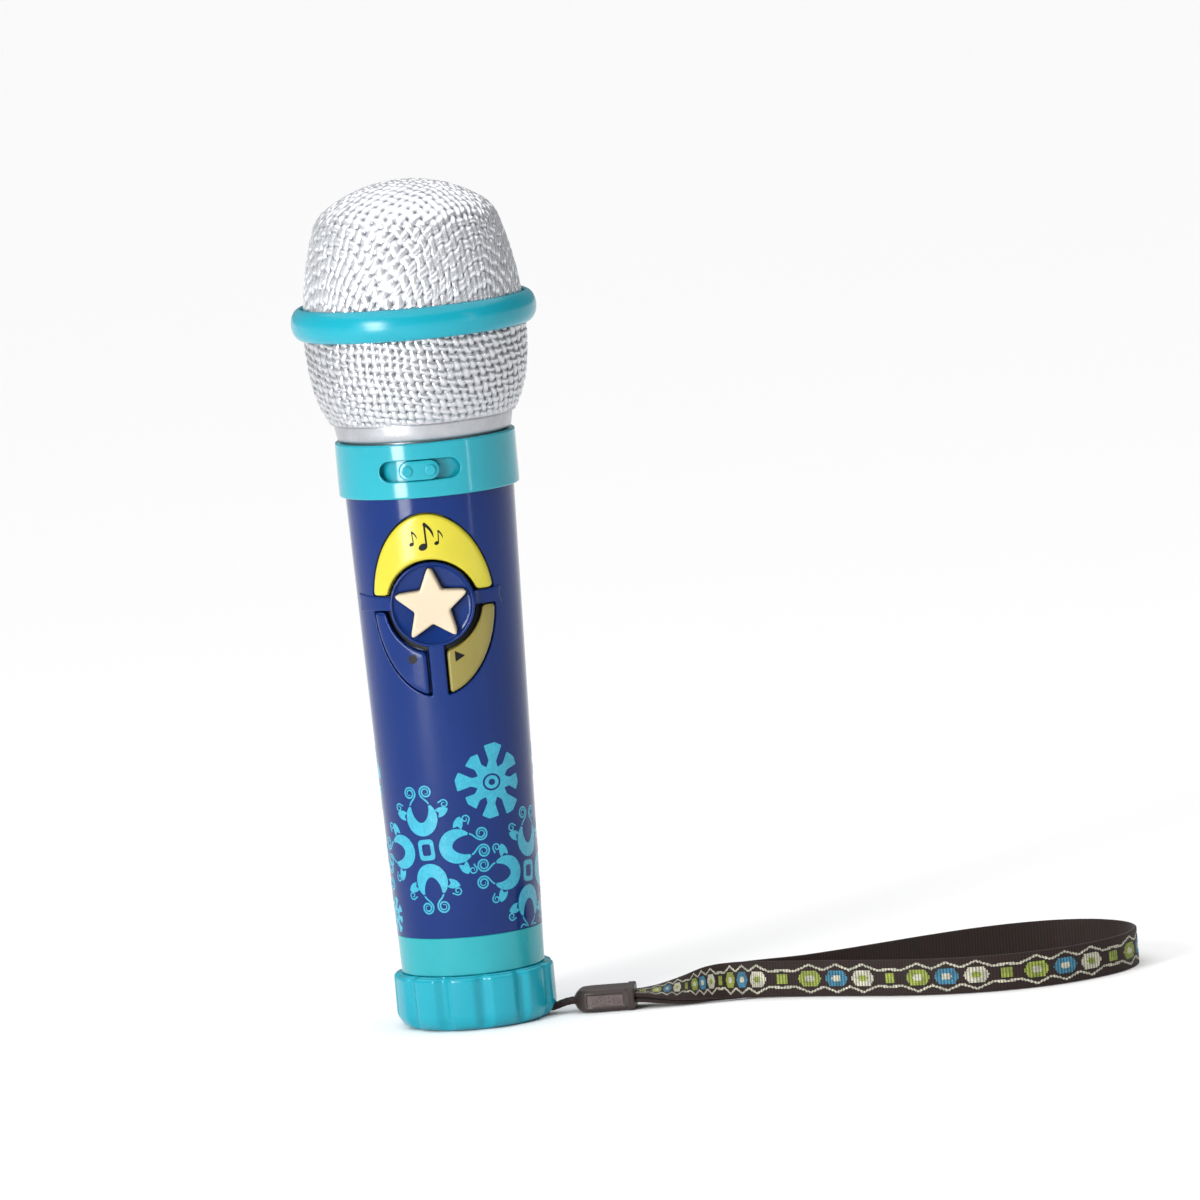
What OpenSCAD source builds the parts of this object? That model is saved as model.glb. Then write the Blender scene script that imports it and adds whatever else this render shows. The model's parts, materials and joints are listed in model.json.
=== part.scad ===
// Toy hand microphone with a wrist strap, standing on its end cap.
// Millimetres. +Z runs up the handle, the origin is the middle of the cap's foot,
// and the buttons face -Y.

/* [Handle] */
// Radius of the blue handle where it leaves the tail ring
handle_low_r = 20.05; // [19.5:0.05:20.5]
// Radius of the blue handle under the collar
handle_top_r = 23.2; // [22.9:0.05:23.4]
// Wall of the handle shells
shell_wall = 2.2; // [2:0.1:2.4]

/* [End cap] */
// Outside radius of the screw cap
cap_r = 22.06; // [21.6:0.05:22.6]
// Height of the screw cap
cap_h = 15; // [15:0.05:15.2]
// Depth of each finger flute
flute_depth = 1.0; // [0.6:0.1:1.3]
// Height gained by one turn of the screw thread
thread_pitch = 3.5; // [3.4:0.05:3.6]

/* [Head] */
// Outside radius of the bumper ring round the head
ring_r = 33.75; // [33.5:0.05:34]
// Height of the bumper ring
ring_h = 8.8; // [8:0.1:9.4]
// Wall of the grille shells
grille_wall = 2.2; // [1.8:0.1:2.4]

/* [Buttons] */
// Travel of each button
button_travel = 1.2; // [0.8:0.1:1.3]
// Gap round each button
button_gap = 0.35; // [0.25:0.05:0.45]
// Tip radius of the star button
star_r = 10.2; // [9.8:0.1:10.4]

/* [Strap] */
// Width of the woven wrist band
band_w = 10; // [8:0.5:10]
// Thickness of the woven wrist band
band_t = 1.2; // [1:0.1:1.2]
// Diameter of the round string
string_d = 1.8; // [1.6:0.1:1.8]

/* [Hidden] */
$fn = 96;
EPS = 0.01;

// Levels up the handle
tail_z = 15.3;
handle_z0 = 26;
handle_z1 = 147.9;
spigot_top = 151.4;
collar_z1 = 162.9;
bowl_z0 = 163.3;
ring_z = 196;
top_z = 233.3;

// End cap
foot_r = 4.5;
recess_r = 15.5;
recess_h = 5.5;
web_top = 7.1;
cap_bore_r = 18.3;
post_r = 2.8;
bar_w = 4.4;
bar_z = 0.4;
bar_t = 1.2;
flutes = 12;
flute_w = 4.4;
flute_turn = 11;
notch_w = 7;
notch_h = 3.4;

// Threaded neck
neck_r = 16.6;
neck_bore_r = 14.2;
neck_z0 = 7.8;
neck_thread_z = 9.4;
thread_turns = 0.9;
thread_steps = 28;
thread_root = 0.75;
thread_crest = 0.4;
neck_crest_r = 17.7;
cap_crest_r = 17.1;
cap_thread_turn = 72;
socket_r = 17.5;

// Ferrule between string and wrist band
ferrule_x0 = 27;
ferrule_x1 = 44;
ferrule_w = 12;
ferrule_h = 6.6;

// Front panel
panel_z = 118.3;
oval_x = 16.35;
oval_z = 25;
arc_in_r = 12.5;
upper_low = 3.1;
lower_high = -1.6;
lower_near = 2.55;
disc_r = 11.65;
disc_y = -21.5;
lip_y = -22.3;
lip_w = 0.9;
button_rise = 0.8;
flange_step = 0.9;
flange_t = 0.95;
flange_r = shell_wall + 0.35;
post_button_r = 1.6;
star_front_y = -24.6;
star_in_r = 5.1;
outline_steps = 22;

// Circuit board and its switches
board_y0 = -9;
board_y1 = -7.4;
board_half = 12.6;
board_z0 = 88.5;
board_z1 = 139.6;
ear_h = 5.2;
pad_y = -10;
dome_y = -12.5;
post_end_y = dome_y - button_travel - 0.15;
boss_cover = 0.8;
upper_boss = [13, 143];
lower_boss = [10, 72];
board_holes = [[-14, 91.5], [14, 91.5], [-15, 137.2], [15, 137.2]];
button_posts = [[0, 135.5], [0, panel_z], [-8.4, 105], [8.4, 105]];

// Power switch
slot_z = 155.5;
slot_h = 5.7;
slot_half = 11.07;
collar_r = 24.8;
collar_wall = 2.4;
collar_mouth_r = 22.6;
knob_half = 5.66;
knob_r = 25.3;
pip_r = 1.5;
plate_r = 22.1;
plate_in_r = 20.7;
plate_half = 16;
plate_h = 7.2;
switch_y0 = -14.8;
switch_y1 = -10.4;
switch_posts_x = 9;

// Three AAA cells in a round cartridge
cell_r = 5.25;
cell_h = 43.3;
nub_h = 1.2;
cell_ring_r = 6.25;
holder_r = 13.6;
holder_z = 9.2;
holder_floor = 1.6;
contact_r = 4.2;
plate_t = 0.4;
spring_h = 3.2;
cell_z0 = holder_z + holder_floor + plate_t;
cell_z1 = cell_z0 + spring_h + cell_h + nub_h;
cell_turn = [90, 210, 330];

// Grille profile
bowl_a = 30.83;
bowl_b = 33.4;
bowl_m = 2.55;
bowl_n = 5.36;
dome_x0 = 30.7;
dome_side_r = 100;
dome_side_z = 190;
dome_crown_r = 38;
dome_shoulder_r = 10;
bowl_foot_z = 160.4;
weave_z = 168;

// Speaker and voice pickup
bracket_turn = [30, 150, 270];
bracket_screw_r = 25.2;
bracket_r = 27.4;
bracket_t = 2;
speaker_r = 20;
magnet_r = 9.8;
magnet_z0 = 181;
magnet_z1 = 189;
capsule_r = 3;
capsule_z = 226;
boot_r = 4.4;

// Route of the round string: out of the ferrule, round the post, back again
string_route = [
    [28.5, -1.4, 3.3], [26, -1.4, 3.2], [24, -1.5, 2.8], [21.5, -1.6, 2.1], [18.5, -1.8, 1.9],
    [15, -2.3, 2.1], [11, -3, 2.5], [7, -3.7, 2.7], [3.5, -4.1, 2.7],
    [0, -3.9, 2.7], [-2.7, -2.7, 2.7], [-3.8, 0, 2.7], [-2.7, 2.7, 2.7],
    [0, 3.9, 2.7], [3.5, 4.1, 2.7], [7, 3.7, 2.7], [11, 3, 2.5],
    [15, 2.3, 2.1], [18.5, 1.8, 1.9], [21.5, 1.6, 2.1], [24, 1.5, 2.8], [26, 1.4, 3.2],
    [28.5, 1.4, 3.3]
];

// Route of the wrist band: x, y, z and the lean of its outer face from straight up
band_route = [
    [42.5, 0, 4, 0], [46, 0, 4, 2], [51, -0.1, 4, 12], [58, -0.4, 4.5, 32], [65, -0.6, 5.4, 56],
    [72, -0.8, 5.5, 76], [79, -1.4, 5.3, 88], [88, -3.6, 5.1, 90],
    [98, -7.6, 5.1, 90], [109, -12.8, 5.1, 90], [121, -17.8, 5.1, 90],
    [134, -21, 5.1, 90], [147, -21.4, 5.1, 90], [160, -18.4, 5.1, 90],
    [171, -11.4, 5.1, 90], [179, -1.6, 5.1, 90], [182, 10, 5.1, 90],
    [179, 21.6, 5.1, 90], [171, 30.2, 5.1, 90], [160, 34.4, 5.1, 90],
    [148, 34.2, 5.1, 90], [136, 30.6, 5.1, 90], [124, 24.6, 5.1, 90],
    [112, 17.4, 5.1, 90], [101, 10.8, 5.1, 90], [90, 5.4, 5.1, 90],
    [80, 2, 5.3, 92], [72, 0.8, 5.1, 104], [65, 0.6, 4.6, 124],
    [58, 0.4, 3.3, 148], [51, 0.1, 2.7, 168], [46, 0, 2.6, 178], [42.5, 0, 2.6, 180]
];

// Colours
blue = "#2b3a8c";
turquoise = "#3cc3d7";
teal = "#2db9cd";
pale_teal = "#50c8cd";
silver = "#c8ccd2";
brown = "#32231e";

// ---- Shared shapes ----

// Radius of the handle at a height
function handle_r(z) =
    handle_low_r + (handle_top_r - handle_low_r) * (z - handle_z0) / (handle_z1 - handle_z0);

// A point on a Catmull-Rom curve through p, after point i by the share t
function along(p, i, t) =
    let (a = p[max(i - 1, 0)], b = p[i], c = p[i + 1], d = p[min(i + 2, len(p) - 1)])
    0.5 * (2 * b + (c - a) * t + (2 * a - 5 * b + 4 * c - d) * t * t
        + (3 * b - a - 3 * c + d) * t * t * t);

// The curve through p with n steps between its points
function smooth(p, n) = concat(
    [for (i = [0:len(p) - 2], k = [0:n - 1]) along(p, i, k / n)],
    [p[len(p) - 1]]
);

function place(p) = [p[0], p[1], p[2]];
function unit(v) = v / norm(v);

// One section of a sweep at station i: outline points set across the path
function station(path, i, outline, ref, turn) =
    let (
        t = unit(place(path[min(i + 1, len(path) - 1)]) - place(path[max(i - 1, 0)])),
        side = unit(cross(t, ref)),
        up = cross(side, t),
        face = cos(turn) * up + sin(turn) * side,
        wide = cross(t, face)
    )
    [for (q = outline) place(path[i]) + q[0] * wide + q[1] * face];

// A closed solid swept along a path; a fourth number in the path leans the section
module sweep(path, outline, ref) {
    n = len(outline);
    m = len(path);
    rings = [for (i = [0:m - 1])
        station(path, i, outline, ref, is_undef(path[i][3]) ? 0 : path[i][3])];
    points = [for (r = rings, q = r) q];
    sides = [for (i = [0:m - 2], j = [0:n - 1])
        let (k = (j + 1) % n, a = i * n)
        each [[a + j, a + n + k, a + n + j], [a + j, a + k, a + n + k]]];
    first = [for (j = [1:n - 2]) [0, j + 1, j]];
    end = (m - 1) * n;
    last = [for (j = [1:n - 2]) [end, end + j, end + j + 1]];
    polyhedron(points, concat(sides, first, last));
}

function round_outline(r, n) = [for (k = [0:n - 1]) r * [cos(360 * k / n), sin(360 * k / n)]];

// A thin insulated wire
module wire(route, r = 0.6) {
    sweep(smooth(route, 3), round_outline(r, 6), [1, 0, 0]);
}

module tube(r_out, r_in, z0, z1) {
    translate([0, 0, z0])
        difference() {
            cylinder(h = z1 - z0, r = r_out);
            translate([0, 0, -1])
                cylinder(h = z1 - z0 + 2, r = r_in);
        }
}

// Solid of the handle's taper, moved in or out by grow
module taper(z0, z1, grow) {
    translate([0, 0, z0])
        cylinder(h = z1 - z0, r1 = handle_r(z0) + grow, r2 = handle_r(z1) + grow);
}

module taper_shell(z0, z1, outer, inner) {
    difference() {
        taper(z0, z1, outer);
        taper(z0 - 1, z1 + 1, inner);
    }
}

// Stands a flat outline up on the XZ plane and runs it from y0 forwards to y1
module facing(y0, y1) {
    translate([0, y0, 0])
        rotate([90, 0, 0])
            linear_extrude(y0 - y1)
                children();
}

module rod_y(x, z, r, y0, y1) {
    translate([x, y1, z])
        rotate([90, 0, 0])
            cylinder(h = y1 - y0, r = r);
}

module half(front) {
    translate([-50, front ? -100 : 0, -10])
        cube([100, 100, 300]);
}

// ---- Outlines on the front panel ----

function on_oval(a, g) = [(oval_x + g) * cos(a), (oval_z + g) * sin(a)];
function on_arc(a, g) = [(arc_in_r - g) * cos(a), (arc_in_r - g) * sin(a)];
function steps(a, b) = [for (k = [0:outline_steps]) a + (b - a) * k / outline_steps];

// Upper button: the oval above a level, less the round middle
module music_outline(g_out, g_in) {
    low = upper_low - g_in;
    a = asin(low / (oval_z + g_out));
    b = asin(low / (arc_in_r - g_in));
    polygon(concat(
        [for (t = steps(a, 180 - a)) on_oval(t, g_out)],
        [for (t = steps(180 - b, b)) on_arc(t, g_in)]
    ));
}

// Lower right button; the left one is its mirror image
module lower_outline(g_out, g_in) {
    top = lower_high + g_in;
    near = lower_near - g_in;
    arc_r = arc_in_r + 0.8;
    a = asin(top / (oval_z + g_out));
    b = -acos(near / (oval_x + g_out));
    c = -acos(near / (arc_r - g_in));
    d = asin(top / (arc_r - g_in));
    polygon(concat(
        [for (t = steps(a, b)) on_oval(t, g_out)],
        [for (t = steps(c, d)) (arc_r - g_in) * [cos(t), sin(t)]]
    ));
}

// Five-pointed star with cut tips
module star_outline(g) {
    r_out = star_r + 1.2 + 1.6 * g;
    r_in = star_in_r + g;
    intersection() {
        polygon([for (k = [0:9])
            (k % 2 == 0 ? r_out : r_in) * [cos(90 + 36 * k), sin(90 + 36 * k)]]);
        circle(r = star_r + g);
    }
}

// ---- Cap, strap and seal ----

// Outline of the cap with a soft foot and a small top edge
function cap_profile() = concat(
    [[0, 0], [cap_r - foot_r, 0]],
    [for (a = [-75:15:0]) [cap_r - foot_r + foot_r * cos(a), foot_r + foot_r * sin(a)]],
    [[cap_r, cap_h - 1], [cap_r - 0.3, cap_h - 0.3], [cap_r - 1, cap_h], [0, cap_h]]
);

// A screw ridge from radius r0 (root) to r1 (crest); r1 may be the smaller one
module thread(r0, r1, z0) {
    n = round(thread_steps * thread_turns);
    rings = [for (i = [0:n])
        let (turn = thread_turns * i / n, z = z0 + thread_pitch * turn,
            u = [cos(360 * turn), sin(360 * turn)])
        each [
            [r0 * u[0], r0 * u[1], z - thread_root], [r1 * u[0], r1 * u[1], z - thread_crest],
            [r1 * u[0], r1 * u[1], z + thread_crest], [r0 * u[0], r0 * u[1], z + thread_root]
        ]];
    flip = r1 < r0;
    faces = concat(
        [for (i = [0:n - 1], j = [0:3])
            let (k = (j + 1) % 4, a = 4 * i)
            each [[a + j, a + k, a + 4 + k], [a + j, a + 4 + k, a + 4 + j]]],
        [[2, 1, 0], [3, 2, 0]],
        [[4 * n, 4 * n + 1, 4 * n + 2], [4 * n, 4 * n + 2, 4 * n + 3]]
    );
    polyhedron(rings, [for (f = faces) flip ? [f[2], f[1], f[0]] : f]);
}

module end_cap() {
    flute_r = (pow(flute_w / 2, 2) + pow(flute_depth, 2)) / (2 * flute_depth);
    color(teal)
        difference() {
            rotate_extrude()
                polygon(cap_profile());
            for (k = [0:flutes - 1])
                rotate([0, 0, -90 + flute_turn + 360 * k / flutes])
                    translate([cap_r - flute_depth + flute_r, 0, -1])
                        cylinder(h = cap_h + 2, r = flute_r, $fn = 32);
            // Threaded socket for the neck
            translate([0, 0, web_top])
                cylinder(h = cap_h, r = cap_bore_r);
            // Strap recess with its post and cross bar left standing
            difference() {
                translate([0, 0, -1])
                    cylinder(h = recess_h + 1, r = recess_r);
                cylinder(h = recess_h + 1, r = post_r);
                translate([-bar_w / 2, -recess_r - 1, bar_z])
                    cube([bar_w, 2 * recess_r + 2, bar_t]);
            }
            translate([0, 0, -2])
                cylinder(h = 2 + bar_z, r = recess_r);
            // Way out for the string
            translate([recess_r - 2, -notch_w / 2, -1])
                cube([cap_r, notch_w, notch_h + 1]);
        }
    // Ridge in the socket, half a pitch below the neck's ridge
    color(teal)
        rotate([0, 0, cap_thread_turn])
            thread(cap_bore_r + 0.2, cap_crest_r,
                neck_thread_z + thread_pitch * (cap_thread_turn / 360 - 0.5));
}

module strap_cord() {
    color(brown)
        sweep(smooth(string_route, 2), round_outline(string_d / 2, 8), [0, 0, 1]);
}

module strap_ferrule() {
    half_w = ferrule_w / 2;
    long = ferrule_x1 - ferrule_x0;
    color(brown)
        intersection() {
            linear_extrude(ferrule_h)
                union() {
                    translate([ferrule_x0 + half_w, -half_w])
                        square([ferrule_x1 - ferrule_x0 - half_w, ferrule_w]);
                    translate([ferrule_x0 + half_w, 0])
                        circle(r = half_w);
                }
            translate([ferrule_x0, half_w, 0])
                rotate([90, 0, 0])
                    linear_extrude(ferrule_w)
                        polygon(concat(
                            [[0, 2], [0.6, 0.8], [2, 0], [long, 0]],
                            [[long, ferrule_h], [2, ferrule_h]],
                            [[0.6, ferrule_h - 0.8], [0, ferrule_h - 2]]
                        ));
        }
}

module strap_webbing() {
    w = band_w / 2;
    t = band_t / 2;
    color(brown)
        sweep(smooth(band_route, 2), [[-w, -t], [w, -t], [w, t], [-w, t]], [0, 0, 1]);
}

module seal_ring() {
    color("#222222")
        translate([0, 0, 14.1])
            rotate_extrude()
                translate([neck_r + 0.8, 0])
                    circle(r = 0.7, $fn = 24);
}

// ---- Handle shells ----

module tail_ring() {
    color(pale_teal) {
        difference() {
            union() {
                taper(tail_z, handle_z0, -0.05);
                translate([0, 0, neck_z0])
                    cylinder(h = tail_z - neck_z0 + 1, r = neck_r);
                translate([0, 0, handle_z0 - 1])
                    cylinder(h = 7, r = socket_r);
            }
            translate([0, 0, neck_z0 - 1])
                cylinder(h = 40, r = neck_bore_r);
        }
        thread(neck_r - 0.2, neck_crest_r, neck_thread_z);
    }
}

// A screw boss that stops short of the outside of the shell
module boss(x, z, r, y0, y1) {
    intersection() {
        rod_y(x, z, r, y0, y1);
        taper(handle_z0, spigot_top, -boss_cover);
    }
}

module shell_half(front) {
    intersection() {
        union() {
            taper_shell(handle_z0, handle_z1, 0, -shell_wall);
            tube(handle_top_r - 1, handle_top_r - shell_wall, handle_z1 - 1, spigot_top);
        }
        half(front);
    }
}

module body_front() {
    color(blue)
        difference() {
            union() {
                shell_half(true);
                // Round dish in the middle of the panel, with its lip
                translate([0, 0, panel_z])
                    facing(-17.6, disc_y)
                        circle(r = disc_r);
                translate([0, 0, panel_z])
                    facing(-18, lip_y)
                        difference() {
                            circle(r = disc_r);
                            circle(r = disc_r - lip_w);
                        }
                for (s = [-1, 1]) {
                    boss(s * upper_boss[0], upper_boss[1], 3, -22, -0.05);
                    boss(s * lower_boss[0], lower_boss[1], 3, -22, -0.05);
                    // Posts of the power switch board
                    rod_y(s * switch_posts_x, 149.9, 1.4, -19, switch_y1);
                }
                for (p = board_holes)
                    boss(p[0], p[1], 2.1, -22, board_y0);
            }
            // Wells of the four buttons
            translate([0, 0, panel_z]) {
                facing(-4, -30)
                    music_outline(button_gap, button_gap);
                facing(-4, -30)
                    lower_outline(button_gap, button_gap);
                facing(-4, -30)
                    mirror([1, 0])
                        lower_outline(button_gap, button_gap);
                facing(-15, -30)
                    star_outline(button_gap);
            }
            for (s = [-1, 1]) {
                rod_y(s * upper_boss[0], upper_boss[1], 1.1, -12, 1);
                rod_y(s * lower_boss[0], lower_boss[1], 1.1, -12, 1);
            }
            for (p = board_holes)
                rod_y(p[0], p[1], 0.8, -13, board_y0 + 1);
        }
}

module body_rear() {
    color(blue)
        difference() {
            union() {
                shell_half(false);
                for (s = [-1, 1]) {
                    boss(s * upper_boss[0], upper_boss[1], 3.8, 0.05, 22);
                    boss(s * lower_boss[0], lower_boss[1], 3.8, 0.05, 22);
                }
            }
            for (s = [-1, 1]) {
                rod_y(s * upper_boss[0], upper_boss[1], 1.45, -1, 24);
                rod_y(s * upper_boss[0], upper_boss[1], 2.8, 8, 24);
                rod_y(s * lower_boss[0], lower_boss[1], 1.45, -1, 24);
                rod_y(s * lower_boss[0], lower_boss[1], 2.8, 8, 24);
            }
        }
}

// A pan-head screw along Y with its head's seat at y and a cross recess
module screw_y(x, z, y, head_r, shank_r, length) {
    difference() {
        union() {
            rod_y(x, z, head_r, y, y + 1.6);
            rod_y(x, z, shank_r, y - length, y + EPS);
        }
        for (a = [0, 90])
            translate([x, y + 1.3, z])
                rotate([0, a, 0])
                    cube([head_r * 1.2, 1, head_r * 0.25], center = true);
    }
}

module body_screws() {
    color("silver")
        for (s = [-1, 1]) {
            screw_y(s * upper_boss[0], upper_boss[1], 8, 2.5, 1.25, 18);
            screw_y(s * lower_boss[0], lower_boss[1], 8, 2.5, 1.25, 18);
        }
}

module collar() {
    color(turquoise)
        difference() {
            rotate_extrude()
                polygon([
                    [collar_r - collar_wall, handle_z1], [collar_r - 0.5, handle_z1],
                    [collar_r, handle_z1 + 0.5], [collar_r, collar_z1 - 0.6],
                    [collar_r - 0.6, collar_z1], [collar_mouth_r, collar_z1],
                    [collar_mouth_r, collar_z1 - 0.6], [collar_r - collar_wall, collar_z1 - 0.6]
                ]);
            translate([0, 0, slot_z])
                facing(-10, -30)
                    stadium(slot_half, slot_h / 2);
        }
}

module stadium(half_w, r) {
    square([2 * (half_w - r), 2 * r], center = true);
    for (s = [-1, 1])
        translate([s * (half_w - r), 0])
            circle(r = r, $fn = 48);
}

module switch_knob() {
    color(turquoise)
        intersection() {
            union() {
                // Finger piece, which stands a little out of the slot
                intersection() {
                    translate([0, 0, slot_z])
                        facing(-10, -30)
                            stadium(knob_half, slot_h / 2 - 0.2);
                    tube(knob_r, plate_in_r + 0.5, slot_z - 5, slot_z + 5);
                }
                // Grip pips
                for (s = [-1, 1])
                    rod_y(s * 3.2, slot_z, pip_r, -knob_r - 0.3, -plate_r);
                // Slide plate behind the collar wall, the floor of the slot at either side
                intersection() {
                    tube(plate_r, plate_in_r, slot_z - plate_h / 2, slot_z + plate_h / 2);
                    translate([-plate_half, -30, slot_z - plate_h])
                        cube([2 * plate_half, 20, 2 * plate_h]);
                }
                // Peg that works the switch
                rod_y(0, slot_z, 1.2, -plate_in_r - 0.8, switch_y0 + 0.6);
            }
            half(true);
        }
}

module slide_switch() {
    color("silver")
        difference() {
            translate([-6.2, switch_y0, slot_z - 2.9])
                cube([12.4, switch_y1 - switch_y0, 5.8]);
            // Groove that the knob's peg runs in
            translate([-5.2, switch_y0 - 0.2, slot_z - 1.6])
                cube([10.4, 2, 3.2]);
        }
}

module switch_board() {
    color("#2f6b3c")
        translate([-switch_posts_x - 2, switch_y1, 148.4])
            cube([2 * switch_posts_x + 4, 1.2, 11.6]);
}

// ---- Buttons ----

// A cap between two tapers, with a wider flange behind the shell and a post
module music_button() {
    color("#f0ec46")
        union() {
            intersection() {
                translate([0, 0, panel_z])
                    facing(-4, -30)
                        music_outline(0, 0);
                taper_shell(panel_z - 2, panel_z + 28, button_rise, -flange_r - 0.85);
            }
            intersection() {
                translate([0, 0, panel_z])
                    facing(-4, -30)
                        music_outline(flange_step, 0.1);
                taper_shell(panel_z - 2, panel_z + 28, -flange_r, -flange_r - flange_t);
            }
            button_post(0);
        }
}

module lower_button(side) {
    intersection() {
        translate([0, 0, panel_z])
            facing(-4, -30)
                mirror([side, 0])
                    lower_outline(0, 0);
        taper_shell(panel_z - 30, panel_z + 2, button_rise, -flange_r - 0.85);
    }
    intersection() {
        translate([0, 0, panel_z])
            facing(-4, -30)
                mirror([side, 0])
                    lower_outline(flange_step, 0.1);
        taper_shell(panel_z - 30, panel_z + 2, -flange_r, -flange_r - flange_t);
    }
}

module button_post(i) {
    p = button_posts[i];
    rod_y(p[0], p[1], post_button_r, -19.5, post_end_y);
}

module record_button() {
    color(blue)
        union() {
            lower_button(1);
            button_post(2);
        }
}

module play_button() {
    color("#aaa555")
        union() {
            lower_button(0);
            button_post(3);
        }
}

module star_button() {
    color("#fde8be")
        union() {
            translate([0, 0, panel_z])
                facing(-16, star_front_y)
                    star_outline(0);
            translate([0, 0, panel_z])
                facing(-15.4, -17.2)
                    circle(r = star_r + 0.4);
            rod_y(0, panel_z, post_button_r, -16, post_end_y);
        }
}

// ---- Electronics ----

// Silicone mat with a dome under each button
module keypad() {
    color("#8a8f94")
        difference() {
            union() {
                translate([-12, pad_y, 97])
                    cube([24, board_y0 - pad_y, 41.6]);
                for (p = button_posts)
                    rod_y(p[0], p[1], 2.6, dome_y, board_y0);
            }
            for (p = button_posts)
                rod_y(p[0], p[1], 1.7, dome_y + 0.8, board_y0 + 1);
        }
}

module circuit_board() {
    color("#2f6b3c")
        difference() {
            union() {
                translate([-board_half, board_y0, board_z0])
                    cube([2 * board_half, board_y1 - board_y0, board_z1 - board_z0]);
                // Ears that carry the screws, clear of the pressed buttons
                for (z = [board_z0, board_z1 - ear_h])
                    translate([-board_half - 4, board_y0, z])
                        cube([2 * board_half + 8, board_y1 - board_y0, ear_h]);
            }
            for (p = board_holes)
                rod_y(p[0], p[1], 1.1, board_y0 - 1, board_y1 + 1);
        }
}

module board_screws() {
    color("silver")
        for (p = board_holes)
            screw_y(p[0], p[1], board_y1, 1.9, 0.9, 5);
}

module sound_chip() {
    color("#1b1b1b")
        translate([-5, board_y1, 108])
            cube([10, 1.6, 8]);
}

module capacitor() {
    color("#30407a")
        translate([8, board_y1 + 2.65, 100])
            cylinder(h = 9, r = 2.6);
}

// ---- Battery cartridge ----

module at_cells() {
    for (i = [0:2])
        rotate([0, 0, cell_turn[i]])
            translate([cell_ring_r, 0, 0])
                children();
}

module battery_holder() {
    color("#2b2b2b")
        difference() {
            union() {
                translate([0, 0, holder_z])
                    cylinder(h = holder_floor, r = holder_r);
                translate([0, 0, cell_z1 + plate_t])
                    cylinder(h = holder_floor, r = holder_r);
                // Three ribs between the cells, off the handle's axis
                for (a = cell_turn)
                    rotate([0, 0, a + 60])
                        translate([holder_r - 4.2, -0.9, holder_z + 1])
                            cube([3.8, 1.8, cell_z1 - holder_z]);
            }
            at_cells()
                translate([0, 0, cell_z0 - plate_t])
                    cylinder(h = cell_z1 - cell_z0 + 2 * plate_t, r = cell_r + 0.25);
        }
}

// One AAA cell with its nub; flip turns the nub down
module cell(i, flip) {
    rotate([0, 0, cell_turn[i]])
        translate([cell_ring_r, 0, flip ? cell_z0 + cell_h + nub_h : cell_z0 + spring_h])
            mirror([0, 0, flip ? 1 : 0]) {
                color(i == 1 ? "#3a3a3a" : "#c08a35")
                    cylinder(h = cell_h, r = cell_r);
                color("silver")
                    translate([0, 0, cell_h - EPS])
                        cylinder(h = nub_h, r = 1.8);
            }
}

module battery_1() {
    cell(0, false);
}

module battery_2() {
    cell(1, true);
}

module battery_3() {
    cell(2, false);
}

module battery_plates() {
    color("silver")
        at_cells() {
            translate([0, 0, cell_z0 - plate_t])
                cylinder(h = plate_t, r = contact_r);
            translate([0, 0, cell_z1])
                cylinder(h = plate_t, r = contact_r);
        }
}

// Conical spring, wide at the plate end
module spring() {
    turns = 2.5;
    n = 30;
    path = [for (i = [0:n])
        let (a = 360 * turns * i / n, r = 3.4 - 1.2 * i / n)
        [r * cos(a), r * sin(a), 0.4 + (spring_h - 0.8) * i / n]];
    sweep(path, round_outline(0.3, 6), [0, 0, 1]);
}

module battery_springs() {
    color("silver")
        for (i = [0:2])
            rotate([0, 0, cell_turn[i]])
                translate([cell_ring_r, 0, i == 1 ? cell_z1 : cell_z0])
                    rotate([i == 1 ? 180 : 0, 0, 0])
                        spring();
}

module battery_wires() {
    color("red")
        wire([[3, 0, 61.2], [4, -1, 70], [5, -4, 80], [5, -6.7, 90]]);
    color("black")
        wire([[-3, 0, 61.2], [-4, -1, 70], [-5, -4, 80], [-5, -6.7, 90]]);
}

// ---- Head ----

// Crossing of two circles, the one on the side of +x
function crossing(c1, r1, c2, r2) =
    let (
        d = norm(c2 - c1),
        a = (r1 * r1 - r2 * r2 + d * d) / (2 * d),
        h = sqrt(r1 * r1 - a * a),
        u = (c2 - c1) / d,
        p = c1 + a * u + h * [-u[1], u[0]],
        q = c1 + a * u - h * [-u[1], u[0]]
    )
    p[1] > q[1] ? p : q;

function arc(c, r, a, b, n) = [for (k = [0:n]) let (t = a + (b - a) * k / n) c + r * [cos(t), sin(t)]];

// Three tangent arcs: flank, shoulder and crown, moved in by g
function dome_profile(g) =
    let (
        side_c = [dome_x0 - dome_side_r, dome_side_z],
        crown_c = [0, top_z - dome_crown_r],
        s = crossing(side_c, dome_side_r - dome_shoulder_r, crown_c, dome_crown_r - dome_shoulder_r),
        low = asin((ring_z - dome_side_z) / (dome_side_r - g)),
        a = atan2(s[1] - side_c[1], s[0] - side_c[0]),
        b = atan2(s[1] - crown_c[1], s[0] - crown_c[0])
    )
    concat(
        arc(side_c, dome_side_r - g, low, a, 7),
        arc(s, dome_shoulder_r - g, a + 6, b, 6),
        arc(crown_c, dome_crown_r - g, b + 5, 90, 6)
    );

// Swelling bowl under the ring, moved in by g
function bowl_profile(g) = [for (k = [0:14])
    let (z = ring_z - (ring_z - weave_z) * (1 - pow(k / 14, 1.6)), t = (ring_z - z) / bowl_b)
    [bowl_a * pow(1 - pow(t, bowl_m), 1 / bowl_n) - g, z]];

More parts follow.
